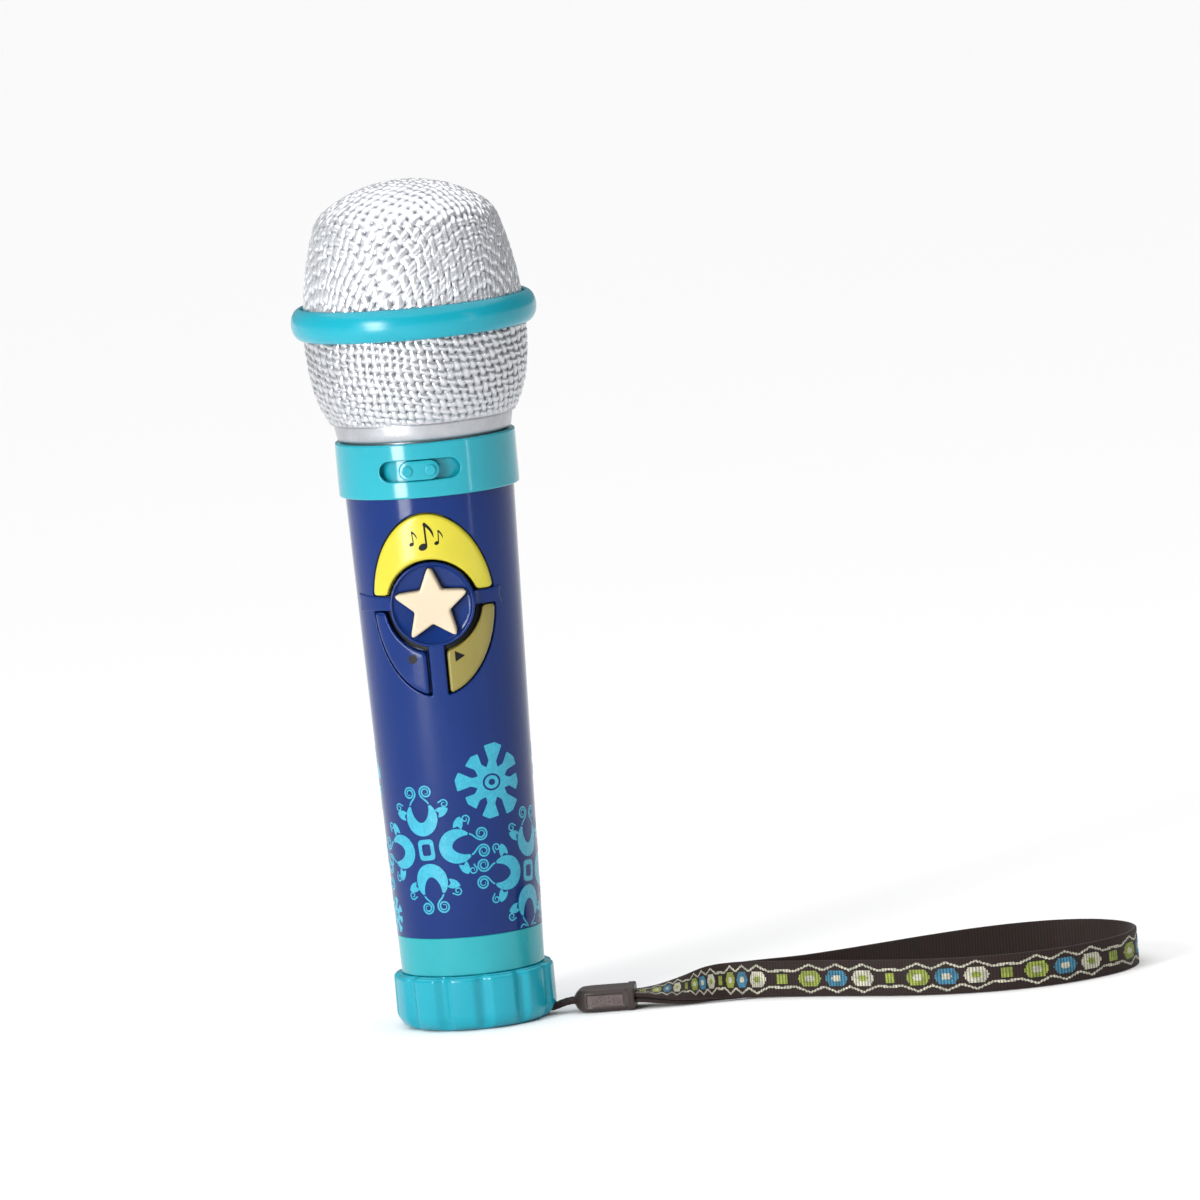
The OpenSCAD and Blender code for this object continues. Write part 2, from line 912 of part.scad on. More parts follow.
module grille_bowl() {
    outer = bowl_profile(0);
    inner = bowl_profile(grille_wall);
    color(silver)
        difference() {
            union() {
                rotate_extrude()
                    polygon(concat(
                        [[19.9, bowl_foot_z], [22.1, bowl_foot_z], [22.1, bowl_z0]],
                        [[23.9, bowl_z0], [24.6, weave_z - 0.2]],
                        outer,
                        [for (k = [14:-1:0]) inner[k]],
                        [[21.8, 166.4], [19.9, 165]]
                    ));
                intersection() {
                    for (a = bracket_turn)
                        rotate([0, 0, a])
                            translate([bracket_screw_r, 0, 176])
                                cylinder(h = 20, r = 2.6);
                    rotate_extrude()
                        polygon(concat([[0, weave_z]], bowl_profile(1), [[0, ring_z]]));
                }
            }
            for (a = bracket_turn)
                rotate([0, 0, a])
                    translate([bracket_screw_r, 0, 186])
                        cylinder(h = 12, r = 0.9);
        }
}

module grille_dome() {
    outer = dome_profile(0);
    inner = dome_profile(grille_wall);
    n = len(outer);
    color(silver)
        union() {
            rotate_extrude()
                polygon(concat(outer, [for (k = [n - 1:-1:0]) inner[k]]));
            tube(boot_r + 1.2, boot_r + 0.1, capsule_z - 1, top_z - grille_wall + 0.2);
        }
}

module head_ring() {
    h = ring_h / 2;
    color(teal)
        translate([0, 0, ring_z])
            rotate_extrude()
                polygon(concat(
                    [[30.9, -h + 0.8], [31.2, -h]],
                    [for (a = [-75:15:75]) [ring_r - 2.9 + 2.9 * cos(a), h * sin(a)]],
                    [[31.2, h], [30.9, h - 0.8]]
                ));
}

module speaker_bracket() {
    color("#3a3a3c")
        difference() {
            translate([0, 0, ring_z])
                cylinder(h = bracket_t, r = bracket_r);
            translate([0, 0, ring_z - 1])
                cylinder(h = 5, r = speaker_r - 1.6);
            for (a = bracket_turn)
                rotate([0, 0, a])
                    translate([bracket_screw_r, 0, ring_z - 1])
                        cylinder(h = 5, r = 1.2);
            // Way through for the wires of the voice pickup
            translate([-22, 6, ring_z - 1])
                cylinder(h = 5, r = 1.5);
        }
}

module bracket_screws() {
    color("silver")
        for (a = bracket_turn)
            rotate([0, 0, a])
                translate([bracket_screw_r, 0, ring_z + bracket_t])
                    rotate([90, 0, 0])
                        screw_y(0, 0, 0, 1.9, 1, 8);
}

module speaker_frame() {
    z = ring_z + bracket_t;
    r = speaker_r - 2.1;
    color("#4a4a4a")
        rotate_extrude()
            polygon([[9, magnet_z1], [10, magnet_z1], [r, z - 2], [r, z], [speaker_r, z],
                [speaker_r, z + 1], [r - 0.7, z + 1], [r - 0.7, z - 1.6], [9, magnet_z1 + 1]]);
}

module speaker_magnet() {
    color("#6a6a6c")
        translate([0, 0, magnet_z0])
            cylinder(h = magnet_z1 - magnet_z0, r = magnet_r);
}

module speaker_cone() {
    color("#202020")
        rotate_extrude()
            polygon([[0, 191.4], [3, 191.2], [6, 190.6], [17, 197.6], [17, 198.2],
                [6, 191.8], [3, 193.4], [0, 194]]);
}

module speaker_wires() {
    color("red")
        wire([[5, -6.7, 137], [6, -2, 146], [8, 4, 158], [12, 8, 172], [15, 8, 184], [18, 9, 195]]);
    color("black")
        wire([[2, -6.7, 137], [3, -1, 146], [5, 6, 158], [9, 11, 172], [12, 11.5, 184], [15, 13, 195]]);
}

module mic_capsule() {
    color("silver")
        translate([0, 0, capsule_z])
            cylinder(h = 2.7, r = capsule_r);
}

module mic_boot() {
    color("#303030")
        difference() {
            translate([0, 0, capsule_z - 0.8])
                cylinder(h = 4.6, r = boot_r);
            translate([0, 0, capsule_z])
                cylinder(h = 6, r = capsule_r);
            translate([0, 0, capsule_z - 2])
                cylinder(h = 4, r = capsule_r / 2);
        }
}

module mic_wires() {
    color("white")
        wire([[-5, -6.7, 137], [-7, 0, 150], [-12, 5, 168], [-20, 6, 184], [-22, 6, 196],
            [-20, 6, 206], [-12, 4, 218], [-3, 1, 221], [0, 0, 225.6]]);
}

end_cap();
strap_cord();
strap_ferrule();
strap_webbing();
seal_ring();
tail_ring();
body_front();
body_rear();
body_screws();
collar();
switch_knob();
slide_switch();
switch_board();
music_button();
star_button();
record_button();
play_button();
keypad();
circuit_board();
board_screws();
sound_chip();
capacitor();
battery_holder();
battery_1();
battery_2();
battery_3();
battery_springs();
battery_plates();
battery_wires();
grille_bowl();
grille_dome();
head_ring();
speaker_bracket();
bracket_screws();
speaker_frame();
speaker_magnet();
speaker_cone();
speaker_wires();
mic_capsule();
mic_boot();
mic_wires();
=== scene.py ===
import json
import math

import bpy
import numpy as np
from mathutils import Matrix, Vector
from mathutils.geometry import delaunay_2d_cdt


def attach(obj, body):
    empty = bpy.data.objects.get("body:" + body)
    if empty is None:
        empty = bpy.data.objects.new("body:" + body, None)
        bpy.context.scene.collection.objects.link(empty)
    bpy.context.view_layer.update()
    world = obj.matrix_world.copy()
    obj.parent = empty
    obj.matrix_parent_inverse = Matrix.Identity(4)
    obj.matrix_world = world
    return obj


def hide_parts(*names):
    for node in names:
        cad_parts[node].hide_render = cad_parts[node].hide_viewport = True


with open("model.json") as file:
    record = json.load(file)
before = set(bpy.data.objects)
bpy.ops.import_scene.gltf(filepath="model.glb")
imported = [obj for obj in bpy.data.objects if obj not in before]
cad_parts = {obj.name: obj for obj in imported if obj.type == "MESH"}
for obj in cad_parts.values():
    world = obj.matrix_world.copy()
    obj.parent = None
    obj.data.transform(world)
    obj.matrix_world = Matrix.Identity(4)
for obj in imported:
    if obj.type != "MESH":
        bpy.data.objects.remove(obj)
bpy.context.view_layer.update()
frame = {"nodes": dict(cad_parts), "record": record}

MM = 0.001
UP = np.array([0.0, 0.0, 1.0])
# Points of a mesh this close together become one
WELD_GAP = 2e-4

# Sizes below are in millimetres and are the CAD model's own.
# Handle
LOW_R, TOP_R = 20.05, 23.2
BODY_Z0, BODY_Z1 = 26.0, 147.9
SPIGOT_TOP = 151.4
SHELL_WALL = 2.2
SHEET_R = 22.0
SHELL_BOSSES = [(13, 143), (10, 72)]
BOARD_HOLES = [(-14, 91.5), (14, 91.5), (-15, 137.2), (15, 137.2)]
SCREW_WELL_R = 2.8

# Front panel, in (x, z) from its middle
PANEL_Z = 118.3
OVAL_X, OVAL_Z = 16.35, 25.0
UPPER_LOW, UPPER_IN_R = 3.1, 12.5
LOWER_HIGH, LOWER_NEAR, LOWER_IN_R = -1.6, 2.55, 13.3
BUTTON_GAP = 0.35
BRIDGE_TRENCH = 0.3
BRIDGE_TIPS = {-1: 21.4, 1: 18.4}
BUTTON_RISE = 0.8
CORNER = 1.1
PILLOW_EDGE = 0.9
DISC_R, DISC_Y, LIP_Y, DISH_DEPTH = 11.65, -21.5, -22.3, 0.55
STAR_OUT_R, STAR_IN_R, STAR_Y, STAR_WELL_R = 11.3, 5.05, -24.6, 10.05
BUTTON_POST_R, BUTTON_POST_Y, POST_END_Y = 1.6, -19.5, -13.85
STAR_BACK_Y, STAR_BODY_Y, STAR_FLANGE_R, STAR_FLANGE_Y = -23.6, -16.0, 10.6, -17.2

# End cap and neck
CAP_R, CAP_H = 22.06, 15.0
FLUTES, FLUTE_TURN, FLUTE_W, FLUTE_DEPTH = 12, 11.0, 6.2, 1.35
RECESS_R, RECESS_H = 15.5, 5.5
WEB_TOP, CAP_BORE_R, POST_R = 7.1, 18.3, 2.8
NECK_THREAD_Z, THREAD_PITCH, THREAD_TURNS = 9.4, 3.5, 0.9
NECK_BORE_R, NECK_R, NECK_PLUG_R, NECK_Z0, NECK_Z1 = 14.2, 16.6, 17.5, 7.8, 32.0
TAIL_Z = 15.3

# Collar and switch
COLLAR_R, COLLAR_Z1 = 24.8, 162.9
SLOT_Z, SLOT_H, SLOT_HALF = 155.5, 5.7, 11.07
KNOB_HALF, PLATE_HALF = 5.66, 16.0

# Head
RING_R, RING_H, RING_Z, TOP_Z = 33.75, 8.8, 196.0, 233.3
BOWL_Z0, BOWL_WEAVE_Z = 163.3, 168.0
BOWL_BORE_R, BOWL_PLUG_R, BOWL_PLUG_Z = 19.9, 22.1, 160.4
BRACKET_BOSS_AT, BRACKET_BOSS_R = 25.2, 2.4
BOWL_A, BOWL_B, BOWL_M, BOWL_N = 30.83, 33.4, 2.55, 5.36
DOME_X0, DOME_SIDE_R, DOME_SIDE_Z = 30.7, 100.0, 190.0
DOME_CROWN_R, DOME_SHOULDER_R = 38.0, 10.0
GRILLE_WALL = 2.2
WEAVE_DEPTH = 0.85
# Weave height given to the grille's plain parts; the silver finish turns it into a mid grey of its painted
# shade ramp
PLAIN_RELIEF = 0.52
DOME_PITCH, DOME_STEP = 2.35, 0.40
BOWL_STRANDS, BOWL_PITCH, BOWL_PITCH_Z, BOWL_STEP = 70, 2.77, 2.25, 0.27

# Strap
BAND_W, BAND_T, BAND_RIB, BAND_REPEAT = 10.0, 1.2, 0.18, 33.0
FERRULE_X0, FERRULE_X1, FERRULE_HALF_W, FERRULE_HALF_H = 27.0, 44.0, 6.0, 3.3
STRING_D, BRAID_DEPTH, BRAID_PITCH = 1.8, 0.13, 3.0
STRING_ROUTE = [
    (28.5, -1.4, 3.3), (26, -1.4, 3.2), (24, -1.5, 2.8), (21.5, -1.6, 2.1), (18.5, -1.8, 1.9),
    (15, -2.3, 2.1), (11, -3, 2.5), (7, -3.7, 2.7), (3.5, -4.1, 2.7),
    (0, -3.9, 2.7), (-2.7, -2.7, 2.7), (-3.8, 0, 2.7), (-2.7, 2.7, 2.7),
    (0, 3.9, 2.7), (3.5, 4.1, 2.7), (7, 3.7, 2.7), (11, 3, 2.5),
    (15, 2.3, 2.1), (18.5, 1.8, 1.9), (21.5, 1.6, 2.1), (24, 1.5, 2.8), (26, 1.4, 3.2),
    (28.5, 1.4, 3.3),
]
# Each point of the band also has the lean of its outer face from straight up, in degrees
BAND_ROUTE = [
    (42.5, 0, 4, 0), (46, 0, 4, 2), (51, -0.1, 4, 12), (58, -0.4, 4.5, 32), (65, -0.6, 5.4, 56),
    (72, -0.8, 5.5, 76), (79, -1.4, 5.3, 88), (88, -3.6, 5.1, 90),
    (98, -7.6, 5.1, 90), (109, -12.8, 5.1, 90), (121, -17.8, 5.1, 90),
    (134, -21, 5.1, 90), (147, -21.4, 5.1, 90), (160, -18.4, 5.1, 90),
    (171, -11.4, 5.1, 90), (179, -1.6, 5.1, 90), (182, 10, 5.1, 90),
    (179, 21.6, 5.1, 90), (171, 30.2, 5.1, 90), (160, 34.4, 5.1, 90),
    (148, 34.2, 5.1, 90), (136, 30.6, 5.1, 90), (124, 24.6, 5.1, 90),
    (112, 17.4, 5.1, 90), (101, 10.8, 5.1, 90), (90, 5.4, 5.1, 90),
    (80, 2, 5.3, 92), (72, 0.8, 5.1, 104), (65, 0.6, 4.6, 124),
    (58, 0.4, 3.3, 148), (51, 0.1, 2.7, 168), (46, 0, 2.6, 178), (42.5, 0, 2.6, 180),
]

# Print: way round from the front in degrees, height, then size and tilt
PRINT_R = 20.7
PRINT_Z0 = 26.4
WREATHS = [(-22.9, 50.7, 4), (64.2, 41.6, -5), (153.0, 50.0, 3), (-114.0, 44.0, -4)]
FLOWERS = [(32.7, 67.9, 10.4, 84), (-94.0, 69.5, 9.4, 62), (112.0, 71.0, 9.0, 70), (180.0, 80.0, 7.5, 85),
           (-70.0, 31.9, 5.0, 75), (110.0, 31.6, 5.0, 60), (-162.0, 33.5, 5.6, 95)]
# Notes on the upper button: place of the head, size and lean
NOTES = [(-0.9, 16.1, 1.04, 2), (-4.0, 17.0, 0.56, 4), (2.9, 16.9, 0.56, -2)]


# ---- Camera and light ----

def make_camera():
    """A long lens a little above and to the right of the microphone, which leans left in the picture."""
    azimuth, elevation, roll = math.radians(5.7), math.radians(6.5), math.radians(5.25)
    distance, view_width = 3.0, 0.3295
    aside, above_middle = 0.0441, -0.0014
    back = Vector((
        math.sin(azimuth) * math.cos(elevation),
        -math.cos(azimuth) * math.cos(elevation),
        math.sin(elevation),
    ))
    level_line = Vector((0, 0, 1)).cross(back).normalized()
    plumb = back.cross(level_line)
    right = math.cos(roll) * level_line - math.sin(roll) * plumb
    top = math.cos(roll) * plumb + math.sin(roll) * level_line
    panel = Vector((0, 0, PANEL_Z * MM))
    place = panel + distance * back
    look = (place - panel - aside * right - above_middle * top).normalized()
    right = top.cross(look).normalized()
    top = look.cross(right)
    camera = bpy.data.objects.new("camera", bpy.data.cameras.new("camera"))
    turn = Matrix((right, top, look)).transposed().to_4x4()
    camera.matrix_world = Matrix.Translation(place) @ turn
    camera.data.sensor_width = 36
    camera.data.lens = camera.data.sensor_width * distance / view_width
    camera.data.clip_start = 0.1
    camera.data.clip_end = 50
    bpy.context.scene.collection.objects.link(camera)
    bpy.context.scene.camera = camera


def softbox(name, place, aim, size, power):
    """A rectangular light that shows in gloss but not to the camera itself."""
    data = bpy.data.lights.new(name, "AREA")
    data.shape = "RECTANGLE"
    data.size, data.size_y = size
    data.energy = power
    lamp = bpy.data.objects.new(name, data)
    lamp.location = place
    lamp.rotation_mode = "QUATERNION"
    lamp.visible_camera = False
    lamp.rotation_quaternion = (Vector(aim) - Vector(place)).to_track_quat("-Z", "Y")
    bpy.context.scene.collection.objects.link(lamp)


def make_studio():
    world = Nodes(bpy.data.worlds.new("studio"), "Background")
    way = world.add("ShaderNodeSeparateXYZ", Vector=world.place).outputs["X"]
    glow = world.spread(way, -1.0, 1.0, 0.42, 0.20)
    bpy.context.scene.world = world.done(Color=(1, 1, 1, 1), Strength=glow)
    softbox("key", (-1.15, -1.65, 0.75), (0, 0, 0.12), (0.62, 0.9), 9.4)
    softbox("card", (-0.32, -0.54, 0.20), (0, 0, 0.15), (0.17, 0.36), 2.9)
    softbox("edge", (0.56, -0.34, 0.24), (0, 0, 0.12), (0.012, 0.46), 0.16)
    sky = bpy.data.lights.new("overhead", "SUN")
    sky.energy = 2.2
    sky.angle = math.radians(100)
    overhead = bpy.data.objects.new("overhead", sky)
    overhead.location = (0, 0, 2)
    bpy.context.scene.collection.objects.link(overhead)
    bpy.context.scene.view_settings.view_transform = "Standard"


def make_floor():
    half = 20.0
    mesh = bpy.data.meshes.new("floor")
    corners = [(-half, -half, 0), (half, -half, 0), (half, half, 0), (-half, half, 0)]
    mesh.from_pydata(corners, [], [(0, 1, 2, 3)])
    paint = material_nodes("floor")
    grain = paint.noise(900.0, 2.0)
    mesh.materials.append(paint.done(
        Base_Color=paint.ramp(grain, (0.30, grey(0.93)), (0.70, grey(0.95))),
        Roughness=1.0,
        Specular_IOR_Level=0.0,
    ))
    floor = bpy.data.objects.new("floor", mesh)
    bpy.context.scene.collection.objects.link(floor)


# ---- Material nodes ----

def srgb(red, green, blue):
    """A colour from 0 to 255 sRGB as linear numbers with alpha."""
    def linear(value):
        share = value / 255
        return share / 12.92 if share <= 0.04045 else ((share + 0.055) / 1.055) ** 2.4
    return (linear(red), linear(green), linear(blue), 1.0)


def shade(colour, factor):
    return tuple(min(1.0, factor * c) for c in colour[:3]) + (1.0,)


def grey(value):
    return (value, value, value, 1)


class Nodes:
    """The node tree of a material or world, in the making. Inputs are named as in Blender, with _ for a space,
    or by number with _ in front, and take a number, a colour or another node's socket."""

    def __init__(self, owner, target):
        owner.use_nodes = True
        self.owner = owner
        self.tree = owner.node_tree
        self.target = self.tree.nodes[target]
        self.place = self.add("ShaderNodeTexCoord").outputs["Object"]

    def feed(self, node, inputs):
        for key, value in inputs.items():
            socket = node.inputs[int(key[1:])] if key[0] == "_" else node.inputs[key.replace("_", " ")]
            if isinstance(value, bpy.types.NodeSocket):
                self.tree.links.new(value, socket)
            else:
                socket.default_value = value

    def add(self, kind, settings=None, **inputs):
        made = self.tree.nodes.new(kind)
        for key, value in (settings or {}).items():
            setattr(made, key, value)
        self.feed(made, inputs)
        return made

    def done(self, **inputs):
        self.feed(self.target, inputs)
        return self.owner

    def noise(self, scale, detail, roughness=0.5, stretch=None):
        place = self.place
        if stretch:
            place = self.add("ShaderNodeMapping", Vector=place, Scale=stretch).outputs[0]
        made = self.add("ShaderNodeTexNoise", Vector=place, Scale=scale, Detail=detail, Roughness=roughness)
        return made.outputs["Fac"]

    def relief(self):
        """Height of the mesh's weave, from 0 to 1."""
        return self.add("ShaderNodeAttribute", {"attribute_name": "relief"}).outputs["Fac"]

    def ramp(self, value, low, high, middle=None):
        """Colour that runs from low to high as value rises; each stop is a position and a colour."""
        made = self.add("ShaderNodeValToRGB", Fac=value)
        stops = made.color_ramp.elements
        for stop, (position, colour) in zip(stops, (low, high)):
            stop.position = position
            stop.color = colour
        if middle:
            stops.new(middle[0]).color = middle[1]
        return made.outputs["Color"]

    def spread(self, value, low, high, to_low, to_high):
        """Value moved from the range low..high to the range to_low..to_high."""
        return self.add("ShaderNodeMapRange", _0=value, _1=low, _2=high, _3=to_low, _4=to_high).outputs[0]

    def math(self, operation, a, b, c=0.5):
        return self.add("ShaderNodeMath", {"operation": operation}, _0=a, _1=b, _2=c).outputs[0]

    def mix(self, share, one, other, blend="MULTIPLY"):
        settings = {"data_type": "RGBA", "blend_type": blend}
        return self.add("ShaderNodeMix", settings, _0=share, _6=one, _7=other).outputs[2]

    def bump(self, height, distance, strength, **under):
        made = self.add("ShaderNodeBump", Height=height, Distance=distance, Strength=strength, **under)
        return made.outputs[0]


def material_nodes(name):
    return Nodes(bpy.data.materials.new(name), "Principled BSDF")


def plastic(name, colour, roughness=0.22, gloss_level=0.5):
    """Glossy moulded plastic: cloudy colour, faint orange peel, fine scuffs in the gloss."""
    nodes = material_nodes(name)
    smear = nodes.math("MULTIPLY_ADD", nodes.noise(160.0, 6.0, 0.7), 0.10, roughness - 0.05)
    worn = nodes.spread(nodes.noise(420.0, 3.0, stretch=(1.0, 1.0, 9.0)), 0.62, 0.80, 0.0, 0.10)
    peel = nodes.bump(nodes.noise(330.0, 1.0), 0.0004, 0.06)
    return nodes.done(
        Base_Color=nodes.ramp(nodes.noise(45.0, 5.0, 0.6),
                              (0.30, shade(colour, 0.92)), (0.72, shade(colour, 1.05))),
        Roughness=nodes.math("ADD", smear, worn),
        Normal=nodes.bump(nodes.noise(3200.0, 2.0), 0.00003, 0.12, Normal=peel),
        Specular_IOR_Level=gloss_level,
    )


def grained(name, noise, low, high, roughness, relief, span=(0.3, 0.7), **fixed):
    """A surface whose colour, gloss and bump all follow one noise. low and high are stops of colour, roughness
    the range over span, relief the bump's distance and strength."""
    nodes = material_nodes(name)
    grain = nodes.noise(*noise)
    return nodes.done(
        Base_Color=nodes.ramp(grain, low, high),
        Roughness=nodes.spread(grain, *span, *roughness),
        Normal=nodes.bump(grain, *relief),
        **fixed,
    )


def rubber(name, colour, roughness=0.6):
    """Matt rubber or silicone with a fine dusty grain."""
    return grained(name, (260.0, 8.0, 0.7), (0.35, colour), (0.75, shade(colour, 1.5)),
                   (roughness - 0.1, roughness + 0.15), (0.00008, 0.3), Specular_IOR_Level=0.35)


def brown_grain(name):
    """Spark-eroded panel of the ferrule: paler and grainy."""
    return grained(name, (1500.0, 5.0, 0.8), (0.35, srgb(58, 47, 46)), (0.7, srgb(112, 98, 96)),
                   (0.45, 0.7), (0.0001, 0.6))


def ink(name, colour):
    """Screen-printed ink: thin, slightly uneven in tone, a touch less glossy than the plastic."""
    return grained(name, (380.0, 6.0, 0.7), (0.28, shade(colour, 0.86)), (0.62, shade(colour, 1.04)),
                   (0.20, 0.34), (0.00003, 0.2))


def paper(name, colour):
    """Pressed paper pulp, as in a small speaker's cone."""
    nodes = material_nodes(name)
    pulp = nodes.noise(700.0, 9.0, 0.75)
    return nodes.done(
        Base_Color=nodes.ramp(pulp, (0.3, shade(colour, 0.6)), (0.7, shade(colour, 1.4))),
        Normal=nodes.bump(pulp, 0.0001, 0.5),
        Roughness=0.85,
    )


def metal(name, colour, roughness=0.3):
    """Metal with drawn or turned marks and a little tarnish."""
    nodes = material_nodes(name)
    marks = nodes.noise(600.0, 4.0, stretch=(1.0, 1.0, 12.0))
    return nodes.done(
        Base_Color=nodes.ramp(nodes.noise(140.0, 5.0), (0.30, shade(colour, 0.72)), (0.65, colour)),
        Roughness=nodes.spread(marks, 0.3, 0.7, roughness - 0.08, roughness + 0.14),
        Normal=nodes.bump(marks, 0.00006, 0.3),
        Metallic=1.0,
    )


def board(name):
    """Green circuit board: resist over copper tracks, with glass cloth showing faintly."""
    nodes = material_nodes(name)
    cells = nodes.add("ShaderNodeTexVoronoi", {"distance": "MANHATTAN", "feature": "DISTANCE_TO_EDGE"},
                      Vector=nodes.place, Scale=320.0).outputs["Distance"]
    tracks = nodes.spread(cells, 0.03, 0.06, 1.0, 0.0)
    cloth = nodes.add("ShaderNodeTexChecker", Vector=nodes.place, Scale=2500.0).outputs["Fac"]
    tone = nodes.math("MULTIPLY_ADD", cloth, 0.12, tracks)
    return nodes.done(
        Base_Color=nodes.ramp(tone, (0.0, srgb(28, 92, 52)), (1.0, srgb(58, 138, 84))),
        Normal=nodes.bump(tracks, 0.00004, 0.5),
        Roughness=0.32,
    )


def printed_sleeve(name, colour, band_colour, level, width):
    """Shrink sleeve with a plain printed band round it between two heights."""
    nodes = material_nodes(name)
    height = nodes.add("ShaderNodeSeparateXYZ", Vector=nodes.place).outputs["Z"]
    printed = nodes.mix(nodes.math("COMPARE", height, level, width / 2), colour, band_colour, "MIX")
    wear = nodes.noise(180.0, 6.0)
    return nodes.done(
        Base_Color=nodes.mix(0.35, printed, nodes.ramp(wear, (0.35, grey(0.6)), (0.65, grey(1)))),
        Roughness=nodes.spread(wear, 0.3, 0.7, 0.22, 0.42),
        Normal=nodes.bump(wear, 0.00005, 0.2),
    )


def thread(name, colour, woven=False):
    """Matt polyester thread: fine fibres, a little sheen, colour that differs from stitch to stitch. A
    woven one has painted shade, darker down between its ribs, by the mesh's own relief."""
    nodes = material_nodes(name)
    fibre = nodes.noise(2600.0, 3.0)
    patch = nodes.noise(420.0, 4.0)
    tone = nodes.math("MULTIPLY_ADD", fibre, 0.5, patch)
    thread_colour = nodes.ramp(tone, (0.55, shade(colour, 0.62)), (0.95, shade(colour, 1.2)))
    if woven:
        # Painted shade: a woven thread's colour is multiplied by a grey from the weave height, darker between
        # the ribs
        thread_colour = nodes.mix(1.0, thread_colour, nodes.ramp(nodes.relief(), (0.05, grey(0.3)), (0.8, grey(1))))
    return nodes.done(
        Base_Color=thread_colour,
        Roughness=nodes.spread(patch, 0.3, 0.7, 0.62, 0.85),
        Normal=nodes.bump(fibre, 0.00008, 0.5),
        Sheen_Weight=0.08,
        Specular_IOR_Level=0.3,
    )


def silver_paint(name, level):
    """Satin silver paint on moulded weave, with painted shade: grey down between the strands and bright on
    them, by the mesh's weave height. level scales the whole colour.
    """
    nodes = material_nodes(name)
    flakes = nodes.noise(5200.0, 2.0)
    # worn here is not wear: it is the weave height, which paints shade between the strands, plus a cloudy
    # mottle in the paint
    worn = nodes.math("MULTIPLY_ADD", nodes.noise(210.0, 6.0, 0.7), 0.35, nodes.relief())
    tone = nodes.math("MULTIPLY_ADD", flakes, 0.10, worn)
    return nodes.done(
        Base_Color=nodes.ramp(tone, (0.26, shade(srgb(104, 107, 114), level)),
                              (1.05, shade(srgb(232, 234, 238), level)),
                              (0.62, shade(srgb(182, 184, 190), level))),
        Roughness=nodes.spread(tone, 0.3, 1.1, 0.42, 0.24),
        Normal=nodes.bump(flakes, 0.00004, 0.25),
        Metallic=0.74,
    )


def make_materials():
    """One finish for each material slot of the record: how it is made, its colour and its other settings."""
    looks = {
        "teal_plastic": (plastic, srgb(6, 149, 168), 0.22, 0.45),
        "pale_teal_plastic": (plastic, srgb(27, 154, 164), 0.22, 0.45),
        "turquoise_plastic": (plastic, srgb(22, 150, 166), 0.12),
        "blue_plastic": (plastic, srgb(7, 40, 103), 0.14, 0.25),
        # level 1.08 is painted light: the silver is made a little lighter for the dome, which faces the light
        "silver_finish": (silver_paint, 1.08),
        "yellow_plastic": (plastic, srgb(195, 184, 46)),
        "cream_plastic": (plastic, srgb(203, 187, 161), 0.3),
        "olive_plastic": (plastic, srgb(132, 121, 56)),
        "brown_string": (thread, srgb(40, 27, 24)),
        "woven_band": (thread, srgb(48, 31, 27), True),
        "brown_plastic": (plastic, srgb(48, 36, 34), 0.42),
        "black_rubber": (rubber, srgb(24, 24, 25)),
        "grey_silicone": (rubber, srgb(86, 90, 96), 0.5),
        "screw_steel": (metal, srgb(150, 150, 155), 0.28),
        "spring_steel": (metal, srgb(176, 174, 168), 0.25),
        "board_green": (board,),
        "black_plastic": (plastic, srgb(12, 12, 14), 0.4, 0.2),
        "capacitor_sleeve": (printed_sleeve, srgb(28, 30, 48), srgb(168, 172, 180), 0.132, 0.002),
        "battery_sleeve": (printed_sleeve, srgb(40, 42, 46), srgb(196, 160, 84), 0.048, 0.012),
        "wire_sleeve": (plastic, srgb(168, 34, 34), 0.35),
        "speaker_steel": (metal, srgb(158, 160, 162), 0.35),
        "magnet_ferrite": (rubber, srgb(48, 48, 52), 0.45),
        "speaker_paper": (paper, srgb(60, 56, 52)),
        "capsule_aluminium": (metal, srgb(205, 207, 210), 0.25),
    }
    return {slot: make(slot, *settings) for slot, (make, *settings) in looks.items()}


# ---- Mesh helpers; points are in millimetres, and a part is its (points, faces) ----

def unit(vectors):
    return vectors / np.linalg.norm(vectors, axis=-1, keepdims=True)


def weld(points, faces, normals):
    """Joins points that lie in the same place and drops faces that vanish."""
    keys = np.round(np.asarray(points) / WELD_GAP).astype(np.int64)
    _, first, where = np.unique(keys, axis=0, return_index=True, return_inverse=True)
    where = where.ravel()
    kept, origin = [], []
    for i, face in enumerate(faces):
        ring = [int(where[k]) for k in face]
        ring = [k for j, k in enumerate(ring) if k != ring[j - 1]]
        if len(ring) > 2:
            kept.append(ring)
            origin.append(i)
    merged = np.zeros((len(first), 3))
    if normals is not None:
        known = np.linalg.norm(normals, axis=1) > 0.5
        merged[where[known]] = normals[known]
    return np.asarray(points)[first], kept, merged, origin, first


